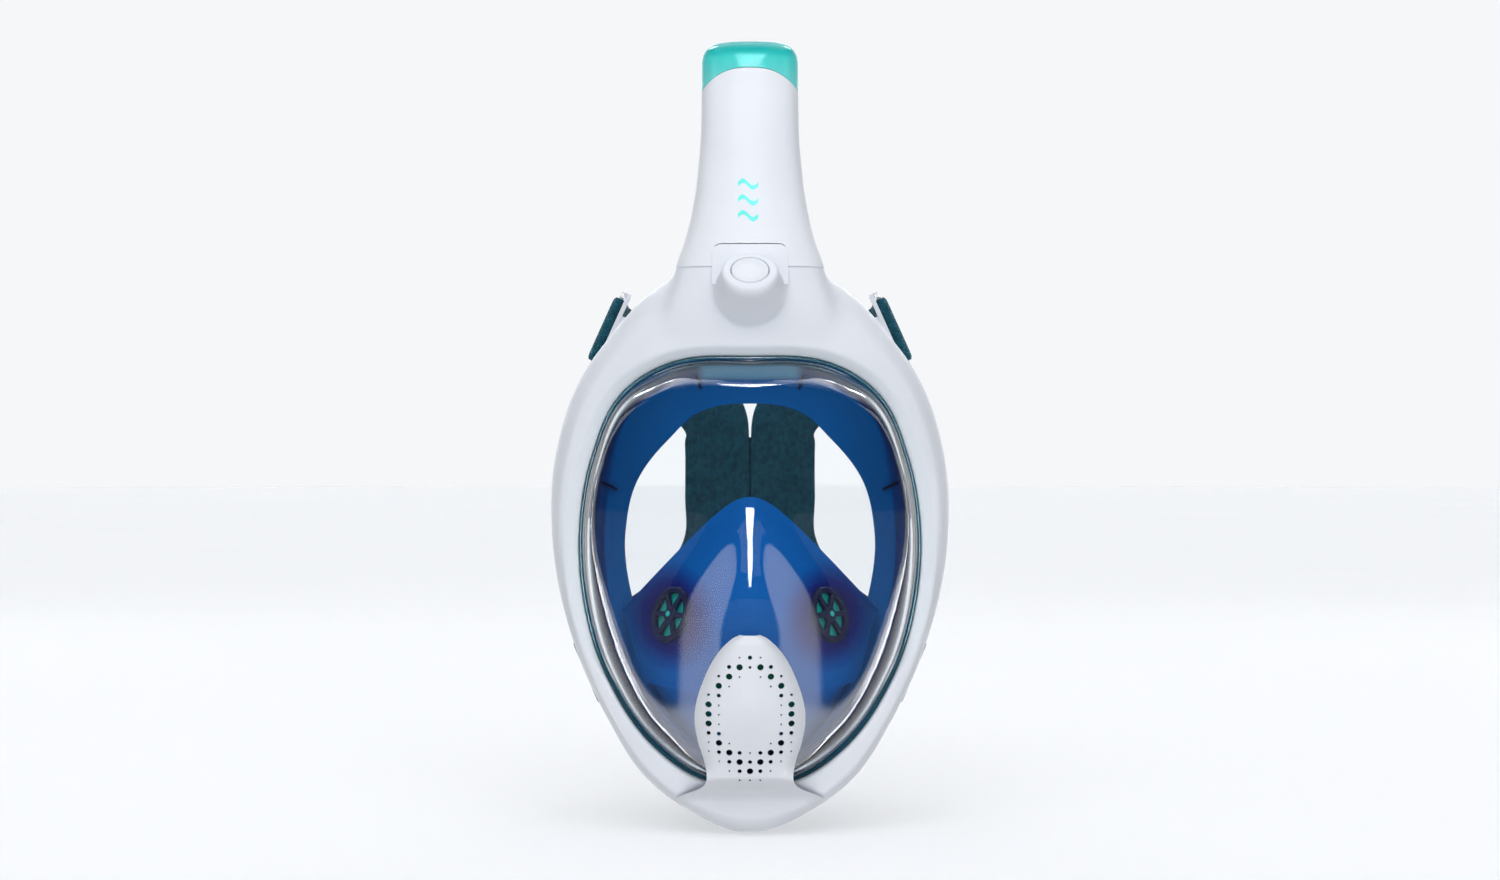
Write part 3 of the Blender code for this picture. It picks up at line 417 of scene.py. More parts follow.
class Nodes:
    """A short way to write a node tree."""

    def __init__(self, owner, shader="Principled BSDF"):
        """The owner is a material's name, or a world."""
        self.owner = bpy.data.materials.new(owner) if isinstance(owner, str) else owner
        self.owner.use_nodes = True
        self.tree = self.owner.node_tree
        self.shader = self.tree.nodes[shader]
        self.places = self.add("ShaderNodeTexCoord").outputs

    def add(self, kind, **values):
        node = self.tree.nodes.new(kind)
        for key, value in values.items():
            setattr(node, key, value)
        return node

    def link(self, out, into):
        self.tree.links.new(out, into)

    def feed(self, socket, value):
        self.link(value, self.shader.inputs[socket])

    def set(self, **values):
        for key, value in values.items():
            self.shader.inputs[key.replace("_", " ")].default_value = value

    def noise(self, scale, detail):
        node = self.add("ShaderNodeTexNoise")
        node.inputs["Scale"].default_value = scale
        node.inputs["Detail"].default_value = detail
        self.link(self.places["Object"], node.inputs["Vector"])
        return node.outputs["Fac"]

    def gloss(self, scale, detail, low, high):
        """Roughness that wanders between two values."""
        self.feed("Roughness", self.span(self.noise(scale, detail), 0.3, 0.7, low, high))

    def attribute(self, name):
        node = self.add("ShaderNodeAttribute", attribute_name=name, attribute_type="GEOMETRY")
        return node.outputs["Fac"]

    def mix(self, share, under, colour):
        """One colour laid over another by a share."""
        node = self.add("ShaderNodeMix", data_type="RGBA")
        self.link(share, node.inputs[0])
        self.link(under, node.inputs[6])
        node.inputs[7].default_value = (*colour, 1.0)
        return node.outputs[2]

    def ramp(self, value, stops):
        node = self.add("ShaderNodeValToRGB")
        elements = node.color_ramp.elements
        while len(elements) < len(stops):
            elements.new(0.5)
        for element, (position, colour) in zip(elements, stops):
            element.position = position
            element.color = (*colour, 1.0)
        self.link(value, node.inputs["Fac"])
        return node.outputs["Color"]

    def span(self, value, low, high, to_low, to_high, **values):
        node = self.add("ShaderNodeMapRange", **values)
        for key, number in zip(("From Min", "From Max", "To Min", "To Max"), (low, high, to_low, to_high)):
            node.inputs[key].default_value = number
        self.link(value, node.inputs["Value"])
        return node.outputs["Result"]

    def math(self, operation, *values):
        node = self.add("ShaderNodeMath", operation=operation)
        for index, value in enumerate(values):
            if isinstance(value, (int, float)):
                node.inputs[index].default_value = value
            else:
                self.link(value, node.inputs[index])
        return node.outputs[0]

    def chain(self, operation, first, *others):
        """The same operation over several values, from the left."""
        for other in others:
            first = self.math(operation, first, other)
        return first

    def bump(self, height, distance, strength):
        node = self.add("ShaderNodeBump")
        node.inputs["Distance"].default_value = distance
        node.inputs["Strength"].default_value = strength
        self.link(height, node.inputs["Height"])
        self.feed("Normal", node.outputs["Normal"])

    def axis(self, letter, place=None):
        node = self.add("ShaderNodeSeparateXYZ")
        self.link(place or self.places["Object"], node.inputs[0])
        return node.outputs[letter]


def white_plastic(name, tint=1.0, roughness=0.40):
    """Satin moulded ABS: cool white with a little uneven gloss."""
    n = Nodes(name)
    n.feed("Base Color", n.ramp(n.noise(22.0, 2.0), [(0.35, (0.76 * tint, 0.785 * tint, 0.84 * tint)),
                                                     (0.7, (0.80 * tint, 0.82 * tint, 0.87 * tint))]))
    n.gloss(60.0, 2.0, roughness - 0.03, roughness + 0.04)
    n.set(Specular_IOR_Level=0.05)
    return n.owner


def clear_polycarbonate(name):
    n = Nodes(name)
    n.feed("Base Color", n.ramp(n.noise(9.0, 1.0), [(0.3, (0.93, 0.97, 0.985)), (0.7, (0.96, 0.985, 0.995))]))
    n.feed("Roughness", n.span(n.noise(70.0, 5.0), 0.35, 0.75, 0.015, 0.05))
    n.set(Transmission_Weight=1.0, IOR=1.3)
    return n.owner


def silicone(name, dark, light, roughness):
    """Moulded silicone: deep colour, soft glow through the edges, faint dusting in the gloss."""
    n = Nodes(name)
    n.feed("Base Color", n.ramp(n.noise(14.0, 3.0), [(0.3, dark), (0.72, light)]))
    n.gloss(240.0, 4.0, roughness - 0.06, roughness + 0.10)
    n.bump(n.noise(2200.0, 2.0), 0.000015, 0.4)
    n.set(Subsurface_Weight=0.18, Subsurface_Scale=0.003, Subsurface_Radius=(0.3, 0.7, 1.0))
    return n.owner


def skirt_silicone(name):
    """Blue silicone with painted light: nearly black-blue on the deep side walls as painted shade, clearer on
    the face flange, painted shadow on the ribs and a pale painted reflection across the top wall.
    """
    n = Nodes(name)
    facing = n.math("ABSOLUTE", n.axis("Y", n.places["Normal"]))
    # painted shade: faces turned away from the front get the dark navy of a shadowed wall
    side = n.span(facing, 0.25, 0.75, 0.0, 0.82)
    tone = n.math("ADD", side, n.math("MULTIPLY", n.noise(9.0, 2.0), 0.16))
    # painted shadow: the rib vertices, marked deep, are pulled down to near-black navy
    deep = n.attribute("deep")
    tone = n.math("SUBTRACT", tone, n.math("MULTIPLY", deep, 0.8))
    blue = n.ramp(tone, [(0.1, (0.001, 0.004, 0.03)), (0.45, (0.0, 0.03, 0.15)), (0.85, (0.0, 0.085, 0.30)),
                         (1.0, (0.0, 0.11, 0.37))])
    # painted reflection: a pale grey-blue band on the top wall near the middle, standing in for a top light
    # seen on the lens
    painted_top_reflection = n.chain("MULTIPLY", n.span(n.axis("Z"), 0.085, 0.0865, 0.0, 1.0),
                       n.span(n.math("ABSOLUTE", n.axis("X")), 0.021, 0.0255, 1.0, 0.0),
                       n.span(facing, 0.45, 0.7, 1.0, 0.0), n.math("SUBTRACT", 1.0, deep))
    n.feed("Base Color", n.mix(painted_top_reflection, blue, (0.08, 0.27, 0.42)))
    n.gloss(240.0, 4.0, 0.42, 0.58)
    n.set(Specular_IOR_Level=0.06)
    return n.owner


def pocket_silicone(name):
    """Blue silicone of the nose pocket, violet and darker round the two valves."""
    n = Nodes(name)
    across = n.math("MULTIPLY", n.math("SUBTRACT", n.math("ABSOLUTE", n.axis("X")), 0.037), 1.15)
    up = n.math("ADD", n.axis("Z"), 0.026)
    apart = n.math("SQRT", n.math("ADD", n.math("MULTIPLY", across, across), n.math("MULTIPLY", up, up)))
    tone = n.math("ADD", n.span(apart, 0.010, 0.026, 0.0, 0.8), n.math("MULTIPLY", n.noise(16.0, 3.0), 0.2))
    n.feed("Base Color", n.ramp(tone, [(0.08, (0.009, 0.005, 0.075)), (0.4, (0.006, 0.014, 0.14)),
                                       (0.75, (0.001, 0.060, 0.27)), (1.0, (0.001, 0.105, 0.38))]))
    n.gloss(240.0, 4.0, 0.36, 0.5)
    n.set(Specular_IOR_Level=0.06)
    return n.owner


def seat_flange_silicone(name):
    """Exhaust valve body: turquoise above, falling off to navy under the valve as painted shade."""
    n = Nodes(name)
    # painted shade: the lower part turns navy where shadow falls under the valve
    height = n.span(n.axis("Z"), -0.084, -0.066, 0.0, 1.0)
    n.feed("Base Color", n.ramp(height, [(0.0, (0.004, 0.008, 0.05)), (0.4, (0.004, 0.02, 0.08)),
                                         (0.7, (0.004, 0.17, 0.12)), (1.0, (0.006, 0.27, 0.17))]))
    n.gloss(240.0, 4.0, 0.4, 0.55)
    return n.owner


def frame_plastic(name):
    """The shell's white, with painted shade greying the chamfer round the window, which is also more matt."""
    n = Nodes(name)
    shade = n.ramp(n.noise(22.0, 2.0), [(0.35, (0.75, 0.78, 0.84)), (0.7, (0.79, 0.815, 0.87))])
    bevel = n.attribute("bevel")
    # painted shade: the chamfer marked by the bevel value is tinted greyer
    n.feed("Base Color", n.mix(bevel, shade, (0.74, 0.78, 0.83)))
    rough = n.span(n.noise(60.0, 2.0), 0.3, 0.7, 0.37, 0.44)
    n.feed("Roughness", n.math("ADD", rough, n.math("MULTIPLY", bevel, 0.12)))
    n.set(Specular_IOR_Level=0.05)
    return n.owner


def hard_plastic(name, dark, light, roughness):
    n = Nodes(name)
    n.feed("Base Color", n.ramp(n.noise(40.0, 3.0), [(0.3, dark), (0.7, light)]))
    n.gloss(300.0, 3.0, roughness - 0.05, roughness + 0.08)
    n.bump(n.noise(1800.0, 2.0), 0.00002, 0.15)
    n.set(Specular_IOR_Level=0.3)
    return n.owner


def cap_plastic(name):
    """Translucent turquoise cap, deeper towards its top."""
    n = Nodes(name)
    height = n.span(n.axis("Z"), 0.222, 0.243, 0.0, 1.0)
    n.feed("Base Color", n.ramp(height, [(0.0, (0.22, 0.86, 0.84)), (0.62, (0.08, 0.78, 0.74)),
                                         (0.78, (0.0, 0.56, 0.54)), (1.0, (0.0, 0.42, 0.43))]))
    n.gloss(200.0, 3.0, 0.12, 0.2)
    n.set(Transmission_Weight=0.25, IOR=1.25, Specular_IOR_Level=0.08)
    return n.owner


def webbing(name):
    """Knitted elastic: ribs along the band, cross yarns and a fuzzy sheen, in the band's own UV metres."""
    n = Nodes(name)
    uv = n.add("ShaderNodeUVMap", uv_map="band").outputs["UV"]
    across, length = n.axis("X", uv), n.axis("Y", uv)
    rib = n.math("SINE", n.math("MULTIPLY", across, 2 * math.pi / 0.0011))
    yarn = n.math("SINE", n.math("MULTIPLY", length, 2 * math.pi / 0.0008))
    cross = n.math("MULTIPLY", rib, yarn)
    height = n.math("ADD", n.math("MULTIPLY", rib, 0.6), n.math("MULTIPLY", cross, 0.4))
    mottled = n.math("ADD", n.math("MULTIPLY", height, 0.22), n.noise(420.0, 4.0))
    n.feed("Base Color", n.ramp(mottled, [(0.15, (0.002, 0.026, 0.046)), (0.5, (0.004, 0.056, 0.085)),
                                          (0.85, (0.010, 0.090, 0.125))]))
    n.gloss(300.0, 2.0, 0.75, 0.95)
    n.bump(height, 0.00018, 0.9)
    n.set(Sheen_Weight=0.12, Sheen_Roughness=0.5, Specular_IOR_Level=0.15)
    return n.owner


def steel(name):
    n = Nodes(name)
    n.feed("Base Color", n.ramp(n.noise(500.0, 2.0), [(0.3, (0.46, 0.47, 0.49)), (0.7, (0.6, 0.61, 0.63))]))
    n.gloss(900.0, 2.0, 0.2, 0.35)
    n.set(Metallic=1.0)
    return n.owner


WHITE = white_plastic("white_abs")
WHITE_BACK = white_plastic("white_abs_back", 0.96, 0.48)
CLEAR = clear_polycarbonate("clear_polycarbonate")
GASKET = silicone("gasket_silicone", (0.004, 0.045, 0.07), (0.01, 0.10, 0.13), 0.45)
SKIRT = skirt_silicone("blue_silicone")
POCKET = pocket_silicone("pocket_silicone")
SEAT = seat_flange_silicone("valve_body_silicone")
FRAME_WHITE = frame_plastic("white_abs_frame")
TURQUOISE = silicone("turquoise_silicone", (0.0, 0.26, 0.25), (0.01, 0.40, 0.37), 0.4)
NAVY = hard_plastic("navy_plastic", (0.003, 0.005, 0.03), (0.006, 0.010, 0.05), 0.5)
NAVY_SOFT = silicone("navy_silicone", (0.005, 0.01, 0.05), (0.01, 0.02, 0.09), 0.45)
FOAM = hard_plastic("float_foam", (0.78, 0.79, 0.80), (0.88, 0.88, 0.88), 0.7)
CAP = cap_plastic("cap_polycarbonate")
WEBBING = webbing("elastic_webbing")
PRINT = hard_plastic("pad_print", (0.10, 0.66, 0.60), (0.13, 0.74, 0.68), 0.45)
STEEL = steel("spring_wire")


# Rigid frames --------------------------------------------------------------------------------

def polar_grid(radius, depth, angle):
    """Points at a radius and a depth, both arrays over the angles."""
    return np.stack([radius * np.sin(angle), depth, -radius * np.cos(angle)], axis=-1)


def cover_width(z):
    return along(COVER_WIDTHS, z)


def chamfer_width(angle):
    """Sloping band of the frame next to the window: widest at the sides, gone under the cheeks."""
    turn = fold(angle)
    side = smoothstep(math.radians(178), math.radians(110), turn)
    return 4.3 + 2.3 * side - 5.4 * smoothstep(math.radians(75), math.radians(48), turn)


def rim_front(angle, share):
    """Front of the frame at a share of the way from window to outer edge: radius and depth."""
    inner, outer = window_edge(angle), frame_edge(angle)
    radius = inner + (outer - inner) * share
    x, z = spot(radius, angle)
    share = np.broadcast_to(share, np.shape(angle))
    crown = np.maximum(rim_rise(share), -1.6) * smoothstep(0.3, 0.75, share) \
        - 1.2 * (1 - smoothstep(0.3, 0.75, share))
    band = np.maximum(chamfer_width(angle), 0.2)
    slope = 4.2 * np.maximum(0.0, 1 - (radius - inner) / band) * smoothstep(0.2, 3.0, band)
    return radius, frame_y(x, z) + crown + slope


def build_front_frame():
    """Solid ring with a sharp chamfer; the neck flows into its brow and the button boss stands on it."""
    angle = ring_angles(420)
    inner, outer = window_edge(angle), frame_edge(angle)
    crease = np.maximum(chamfer_width(angle), 0.3) / (outer - inner)
    start = crease * 1.5
    loops = [rim_front(angle, crease * step) for step in (0.0, 0.5, 1.0, 1.06, 1.5)]
    loops += [rim_front(angle, start + (1 - start) * step) for step in np.linspace(0.0, 1.0, 16)[1:]]
    grid = []
    for radius, depth in loops:
        x, z = spot(radius, angle)
        under_cover = smoothstep(-99, -103, z) * smoothstep(1.5, 0.0, np.abs(x) - cover_width(z) + 1.5)
        grid.append(polar_grid(radius, depth + 2.9 * under_cover, angle))
    for radius, rounding in ((outer, 1.2), (outer - 1.5, 0.0), (inner + 1.0, 0.0), (inner, 1.2)):
        grid.append(polar_grid(radius, frame_back(*spot(radius, angle)) - rounding, angle))
    ring = ring_shape(np.array(grid))
    neck = stack_shape(np.array([oval(26, 4, 99), oval(38, 8.0, 107), oval(40, 12.0, 117),
                                 oval(37, 16.4, 128), oval(34.4, 18.5, TUBE_BASE - 0.05)]))
    frame_piece = new_object("moulded_front_frame", *joined(ring, neck))
    remesh(frame_piece, 0.85)
    relax(frame_piece, 3)
    relax(frame_piece, 160, brow_weight)
    cut(frame_piece, new_object("boss", *boss_shape(72)), "UNION")
    remesh(frame_piece, 0.75)
    relax(frame_piece, 3)
    relax(frame_piece, 40, boss_weight)
    cut(frame_piece, new_object("tongue", *tab_shape()), "UNION")
    cut(frame_piece, new_object("socket", *stack_shape(np.array(
        [oval(27, 8, 108), oval(30, 12, 120), oval(30, 12, 150)]))))
    well = [(8.8, -10), (8.8, -0.9), (9.2, 0.1), (9.6, 0.6), (9.6, 9)]
    cut(frame_piece, new_object("well", *turned_shape(BUTTON_FACE, BUTTON_AXIS, well)))
    paint_chamfer_shade(frame_piece)
    finish_piece(frame_piece, FRAME_WHITE, "mask", ["front_frame"], 50)


def boss_shape(sides):
    """Two ovals inside the brow, then the round boss along the button's axis."""
    turns = ring_angles(sides)
    base = np.stack([19.0 * np.cos(turns), np.full(sides, -20.0), 121.5 + 17.0 * np.sin(turns)], axis=-1)
    middle = np.stack([16.6 * np.cos(turns), np.full(sides, -33.5), 125.0 + 14.0 * np.sin(turns)], axis=-1)
    profile = [(13.6, -4.2), (13.3, -1.6), (12.4, -0.4), (11.2, 0)]
    top = turned_grid(BUTTON_FACE, BUTTON_AXIS, profile, sides)
    return stack_shape(np.concatenate([base[None], middle[None], top]))


def outside_window(points):
    """Distance from the window's edge, measured from the middle of the window."""
    x, z = points[:, 0], points[:, 2]
    return np.hypot(x, z) - window_edge(np.arctan2(x, -z))


def brow_weight(points):
    """Where the neck melts into the ring."""
    clear, z = outside_window(points), points[:, 2]
    return smoothstep(93, 106, z) * smoothstep(5.5, 9, clear) * smoothstep(137.2, 133.0, z)


def boss_weight(points):
    """Only the foot of the boss and of the tongue."""
    near = smoothstep(34, 26, np.abs(points[:, 0])) * smoothstep(102, 108, points[:, 2])
    low = smoothstep(134.5, 127.0, points[:, 2])
    rim = np.array(BUTTON_FACE)
    apart = np.linalg.norm(np.cross(points - rim, np.array(BUTTON_AXIS)), axis=1)
    return near * low * smoothstep(12.0, 15.0, apart)


def paint_chamfer_shade(item):
    """Mark the chamfer, where the material paints shade, as a value on the vertices."""
    mesh = item.data
    points = vertex_points(mesh) / MM
    angle = np.arctan2(points[:, 0], -points[:, 2])
    clear, width = outside_window(points), chamfer_width(angle)
    front = smoothstep(11, 8, points[:, 1] - frame_y(points[:, 0], points[:, 2]))
    value = smoothstep(0.25, -0.25, clear - width) * front * smoothstep(0.5, 2.5, width)
    layer = mesh.attributes.new("bevel", "FLOAT", "POINT")
    layer.data.foreach_set("value", value)


def tab_shape():
    """Tongue of the frame that fills the notch in the snorkel's front shell."""
    rows = []
    for z in np.linspace(128, 146.6, 30):
        half = 17.45 - 3.5 * smoothstep(143.5, 147.0, z) ** 2
        x = np.linspace(-half, half, 44)
        rows.append(np.stack([x, tube_front(x, z), np.full(44, z)], axis=-1))
    front = np.array(rows)
    return plate_shape(front, front + np.array([0, 3.0, 0]))


def build_rear_frame():
    """Clamp ring with a rounded outer edge and a groove running round its back."""
    angle = ring_angles(320)
    inner, outer = window_edge(angle) - 0.5, frame_edge(angle) - 1.5
    width = outer - inner
    section = [(0.0, 0.6), (0.04, 0.0), (0.96, 0.0), (1.0, 0.6), (1.0, 2.6), (0.93, 4.4), (0.8, 5.6),
               (0.7, 6.0), (0.25, 6.0), (0.2, 5.2), (0.08, 5.2), (0.03, 6.0), (0.0, 5.6)]
    loops = []
    for share, depth in section:
        radius = inner + width * share
        loops.append(polar_grid(radius, frame_back(*spot(radius, angle)) + GAP + depth, angle))
    finish_piece(new_object("clamp_ring", *ring_shape(np.array(loops))), WHITE_BACK, "mask", ["rear_frame"],
                 30)


# Window --------------------------------------------------------------------------------------

def shoulder(angle):
    """How far the front of the lens stays inside its edge: a wide slope at the lower sides."""
    turn = np.degrees(fold(angle))
    lower = smoothstep(112, 52, turn) * smoothstep(8, 30, turn)
    corner = smoothstep(126, 144, turn) * smoothstep(166, 150, turn)
    top = smoothstep(150, 168, turn)
    return 6.8 + 12.2 * lower + 3.5 * corner + 5.0 * top


CHIN_CENTRE = Vector((0, float(lens_y(0.0, CHIN_VALVE_Z)) + 4.4, CHIN_VALVE_Z))
CHIN_AXIS = Vector((0, -0.96, -0.28)).normalized()


def build_lens():
    angle = ring_angles(288)
    edge, inset = lens_edge(angle), shoulder(angle)
    crest = smoothstep(math.radians(136), math.radians(152), fold(angle))

    def face(share, offset):
        radius = (edge - inset) * share
        return polar_grid(radius, lens_y(*spot(radius, angle)) + offset, angle)

    def slope(share, thick):
        """Rounded run from the front face down to the frame."""
        start, end = edge - inset, edge - thick
        bend = np.sin(share * math.pi / 2) ** 0.9
        radius = start + (end - start) * bend
        x, z = spot(radius, angle)
        top = lens_y(x, z) + thick
        foot = frame_y(x, z) + 8.0
        ease = 1.3 - 0.75 * crest
        return polar_grid(radius, top + (foot - top) * (1 - np.cos(share * math.pi / 2)) ** ease, angle)

    outer = [face(share, 0.0) for share in np.linspace(0.015, 1.0, 60)]
    outer += [slope(share, 0.0) for share in np.linspace(0.04, 1.0, 26)]
    inner = [slope(share, LENS_THICK) for share in np.linspace(1.0, 0.04, 26)]
    inner += [face(share * 0.99, LENS_THICK) for share in np.linspace(1.0, 0.015, 60)]
    lens = new_object("window_lens", *stack_shape(np.array(outer + inner)))
    drill(lens, CHIN_CENTRE, CHIN_AXIS, CHIN_RADIUS + GAP, 14)
    finish_piece(lens, CLEAR, "mask", ["lens"], 60)
    lens.visible_shadow = False


def build_gasket():
    angle = ring_angles(288)
    outer = window_edge(angle) - GAP
    loops = []
    for inset, rise in ((0.0, 2.6), (0.3, 2.2), (0.8, 2.2), (1.1, 2.6), (1.1, 7.0), (0.0, 7.0)):
        radius = outer - inset
        loops.append(polar_grid(radius, frame_y(*spot(radius, angle)) + rise + 1.4, angle))
    finish_piece(new_object("window_gasket", *ring_shape(np.array(loops))), GASKET, "mask", ["lens_gasket"],
                 50)


# Skirt and nose pocket -----------------------------------------------------------------------

def build_skirt():
    angle = ring_angles(240)
    window, face, back = window_edge(angle), face_edge(angle), face_y(angle)
    front = frame_y(*spot(window, angle)) + 9.0
    thick, middle, halfway = SKIRT_THICK, (window + face) / 2, (front + back) / 2
    profile = [(window - 1.2, front), (window - 1.4, halfway - 6), (window - 2.2, back - 12),
               (window - 4.6, back - 4.5), (middle, back - 0.5), (face + 6.5, back + 1.2),
               (face + 2.0, back + 0.9), (face, back - 0.2), (face + 0.4, back - 1.4),
               (face + 5, back - thick + 0.3), (middle - 1, back - thick - 1.4), (window - 8.8, back - 7.5),
               (window - 5.6, back - 14), (window - 3.6, halfway - 7), (window - 3.4, front)]
    sections = np.array([[radius, depth] for radius, depth in profile])          # profile, 2, station
    dense = curve_through(sections.reshape(len(profile), -1), 72).reshape(72, 2, len(angle))
    grid = np.array([polar_grid(radius, depth, angle) for radius, depth in dense])
    skirt = ring_shape(grid)
    ribs = [rib_shape(math.radians(turn)) for turn in (164, 196, 117, 243)]
    item = new_object("moulded_face_skirt", *joined(skirt, *ribs))
    # the deep mark flags the rib vertices, which the skirt material paints with shadow
    deep = np.zeros(len(item.data.vertices), dtype=np.float32)
    deep[len(skirt[0]):] = 1.0
    item.data.attributes.new("deep", "FLOAT", "POINT").data.foreach_set("value", deep)
    finish_piece(item, SKIRT, "mask", ["face_skirt"], 60)


def rib_shape(angle):
    """Short stiffening fin across the corner between the skirt's wall and its face flange."""
    window, back = float(window_edge(angle)), float(face_y(angle))
    outward = np.array([math.sin(angle), 0.0, -math.cos(angle)])
    side = np.cross(outward, (0.0, 1.0, 0.0))
    crest, root = np.array([0, -1.0, 0]), np.array([0, 4.0, 0])
    loops = []
    for share in np.linspace(0, 1, 14):
        depth = back - 15.0 + 10.5 * share ** 0.8
        centre = outward * (window - 2.4 - 12.5 * share) + np.array([0, depth, 0])
        half = side * (1.15 - 0.75 * share)
        loops.append([centre + half, centre + half * 0.5 + crest, centre - half * 0.5 + crest,
                      centre - half, centre - half + root, centre + half + root])
    return stack_shape(np.array(loops))


def pocket_point(u, v):
    """Surface of the nose pocket: u runs cheek to cheek, v from the top lip (0) to the fold over the
    chin (1) and on to its lower edge on the skirt (1.6)."""
    upper = pocket_front(u, np.minimum(v, 1.0))
    share = np.maximum(v - 1, 0.0) / 0.6
    angle = u * 0.62
    edge = polar_grid(face_edge(angle) + 2.0, face_y(angle) - SKIRT_THICK - 5.2, angle)
    ease = np.stack([share, share ** 1.5, share], axis=-1)
    return upper + (edge - upper) * ease


def pocket_front(u, v):
    x = u * (52.0 - 8.0 * v)
    top_z = 30.0 - 1.12 * (np.hypot(x, 12.0) - 12.0)
    top_y = -9.0 + 27.0 * np.abs(u) ** 1.35 + 6.0 * smoothstep(1.0, 1.17, np.abs(u))
    z = top_z + (-58.0 - top_z) * v
    low_y = -41.0 + 37.0 * np.abs(u) ** 1.8
    y = top_y + (low_y - top_y) * np.sin(v * math.pi / 2) ** 0.8
    return np.stack([x, y, z], axis=-1)


def pocket_frame(u, v):
    step = 0.01
    across = pocket_point(u + step, v) - pocket_point(u - step, v)
    down = pocket_point(u, v + step) - pocket_point(u, np.maximum(v - step, 0.0))
    normal = np.cross(across, down)
    normal /= np.linalg.norm(normal, axis=-1, keepdims=True)
    return pocket_point(u, v), np.where(normal[..., 1:2] < 0, normal, -normal)


def intake_place(side):
    centre, axis = pocket_frame(np.array(0.76), np.array(0.43))
    return mirrored(centre, side), mirrored(axis, side)


def build_pocket():
    heights = np.concatenate([np.linspace(0.011, 1, 90), np.linspace(1.02, 1.59, 34)])
    u, v = np.meshgrid(np.linspace(-1, 1, 150), heights)
    u = u * (1.0 + 0.17 * smoothstep(1.25, 0.85, v))
    here, normal = pocket_frame(u, v)
    lip = 1.5 * np.exp(-(v / 0.035) ** 2)[..., None]
    front, back = here + normal * lip, here - normal * (POCKET_THICK + lip)
    pocket = new_object("moulded_nose_pocket", *plate_shape(front, back))
    for side in (-1, 1):
        drill(pocket, *intake_place(side), INTAKE_RADIUS + GAP, 8)
    finish_piece(pocket, POCKET, "mask", ["nose_pocket"], 50)


def build_valve(label, body, centre, axis, radius, seat, disc, flap_side):
    """Spoked seat with a rounded rim, and its mushroom flap; seat and disc are (material, slot), and the slot
    is not used.
    """
    seat_name = label.replace("flap", "valve_seat")
    rim = [(radius - 2.6, -1.1), (radius - 2.2, -1.5), (radius - 0.4, -1.5), (radius, -1.1), (radius, 1.1),
           (radius - 0.4, 1.5), (radius - 2.2, 1.5), (radius - 2.6, 1.1)]
    shapes = [ring_shape(turned_grid(centre, axis, rim, 72))]
    turn = np.array(frame_along(axis))
    for step in range(6):
        spin = math.pi * step / 3
        out = turn @ np.array([math.cos(spin), math.sin(spin), 0])
        spoke_turn = np.stack([out, np.cross(turn[:, 2], out), turn[:, 2]], axis=-1)
        middle = np.array(centre) + out * (radius / 2)
        shapes.append(box_shape(middle, (radius - 3.0, 2.4, 2.2), 0.35, spoke_turn))
    hub = [(3.2, -1.3), (3.8, -0.9), (3.8, 0.9), (3.2, 1.4)]
    shapes.append(turned_shape(centre, axis, hub, 32))
    finish_piece(new_object(seat_name + "_moulding", *joined(*shapes)), seat[0], "mask", [seat_name],
                 35)
    near, far = 1.5 + GAP, 2.3 + GAP
    profile = [(1.1, -2.2), (1.4, -1.9), (1.1, -1.6), (1.1, near), (radius * 0.5, near),
               (radius - 1.2, near), (radius - 0.9, near + 0.3), (radius - 1.2, far),
               (radius * 0.62, far - 0.15), (radius * 0.58, far + 0.1), (radius * 0.5, far + 0.1),
               (radius * 0.46, far - 0.15), (3.2, far), (2.2, far + 0.5), (0.9, far + 0.7)]
    flap = turned_shape(centre, axis, [(size, height * flap_side) for size, height in profile], 72)
    finish_piece(new_object(label + "_disc", *flap), disc[0], body, [label], 40)


# Chin cover ----------------------------------------------------------------------------------

def cover_y(x, z):
    over_lens = lens_y(x, z) - 8.6
    angle = np.arctan2(x, -z)
    share = (np.hypot(x, z) - window_edge(angle)) / (frame_edge(angle) - window_edge(angle))
    share = np.clip(share, 0.0, 1.0)
    _, rim = rim_front(angle, share)
    return over_lens + (rim - 0.2 - over_lens) * smoothstep(-96, -111, z)


def build_chin_flange():
    """Oval flange of the exhaust valve body, between the lens and the cover."""
    turn = ring_angles(96)
    hole, half_width, half_height = 18.2, 22.4, 29.2
    loops = []
    for share, lift in ((0.0, 0.0), (0.0, 1.2), (0.25, 1.4), (1.0, 1.4), (1.0, 0.0)):
        x = (hole + (half_width - hole) * share) * np.sin(turn)
        z = CHIN_VALVE_Z - 1.2 * share + (hole + (half_height - hole) * share) * np.cos(turn)
        loops.append(np.stack([x, lens_y(x, z) - 0.4 - lift, z], axis=-1))
    finish_piece(new_object("chin_valve_flange", *ring_shape(np.array(loops))), SEAT, "mask", [],
                 40)


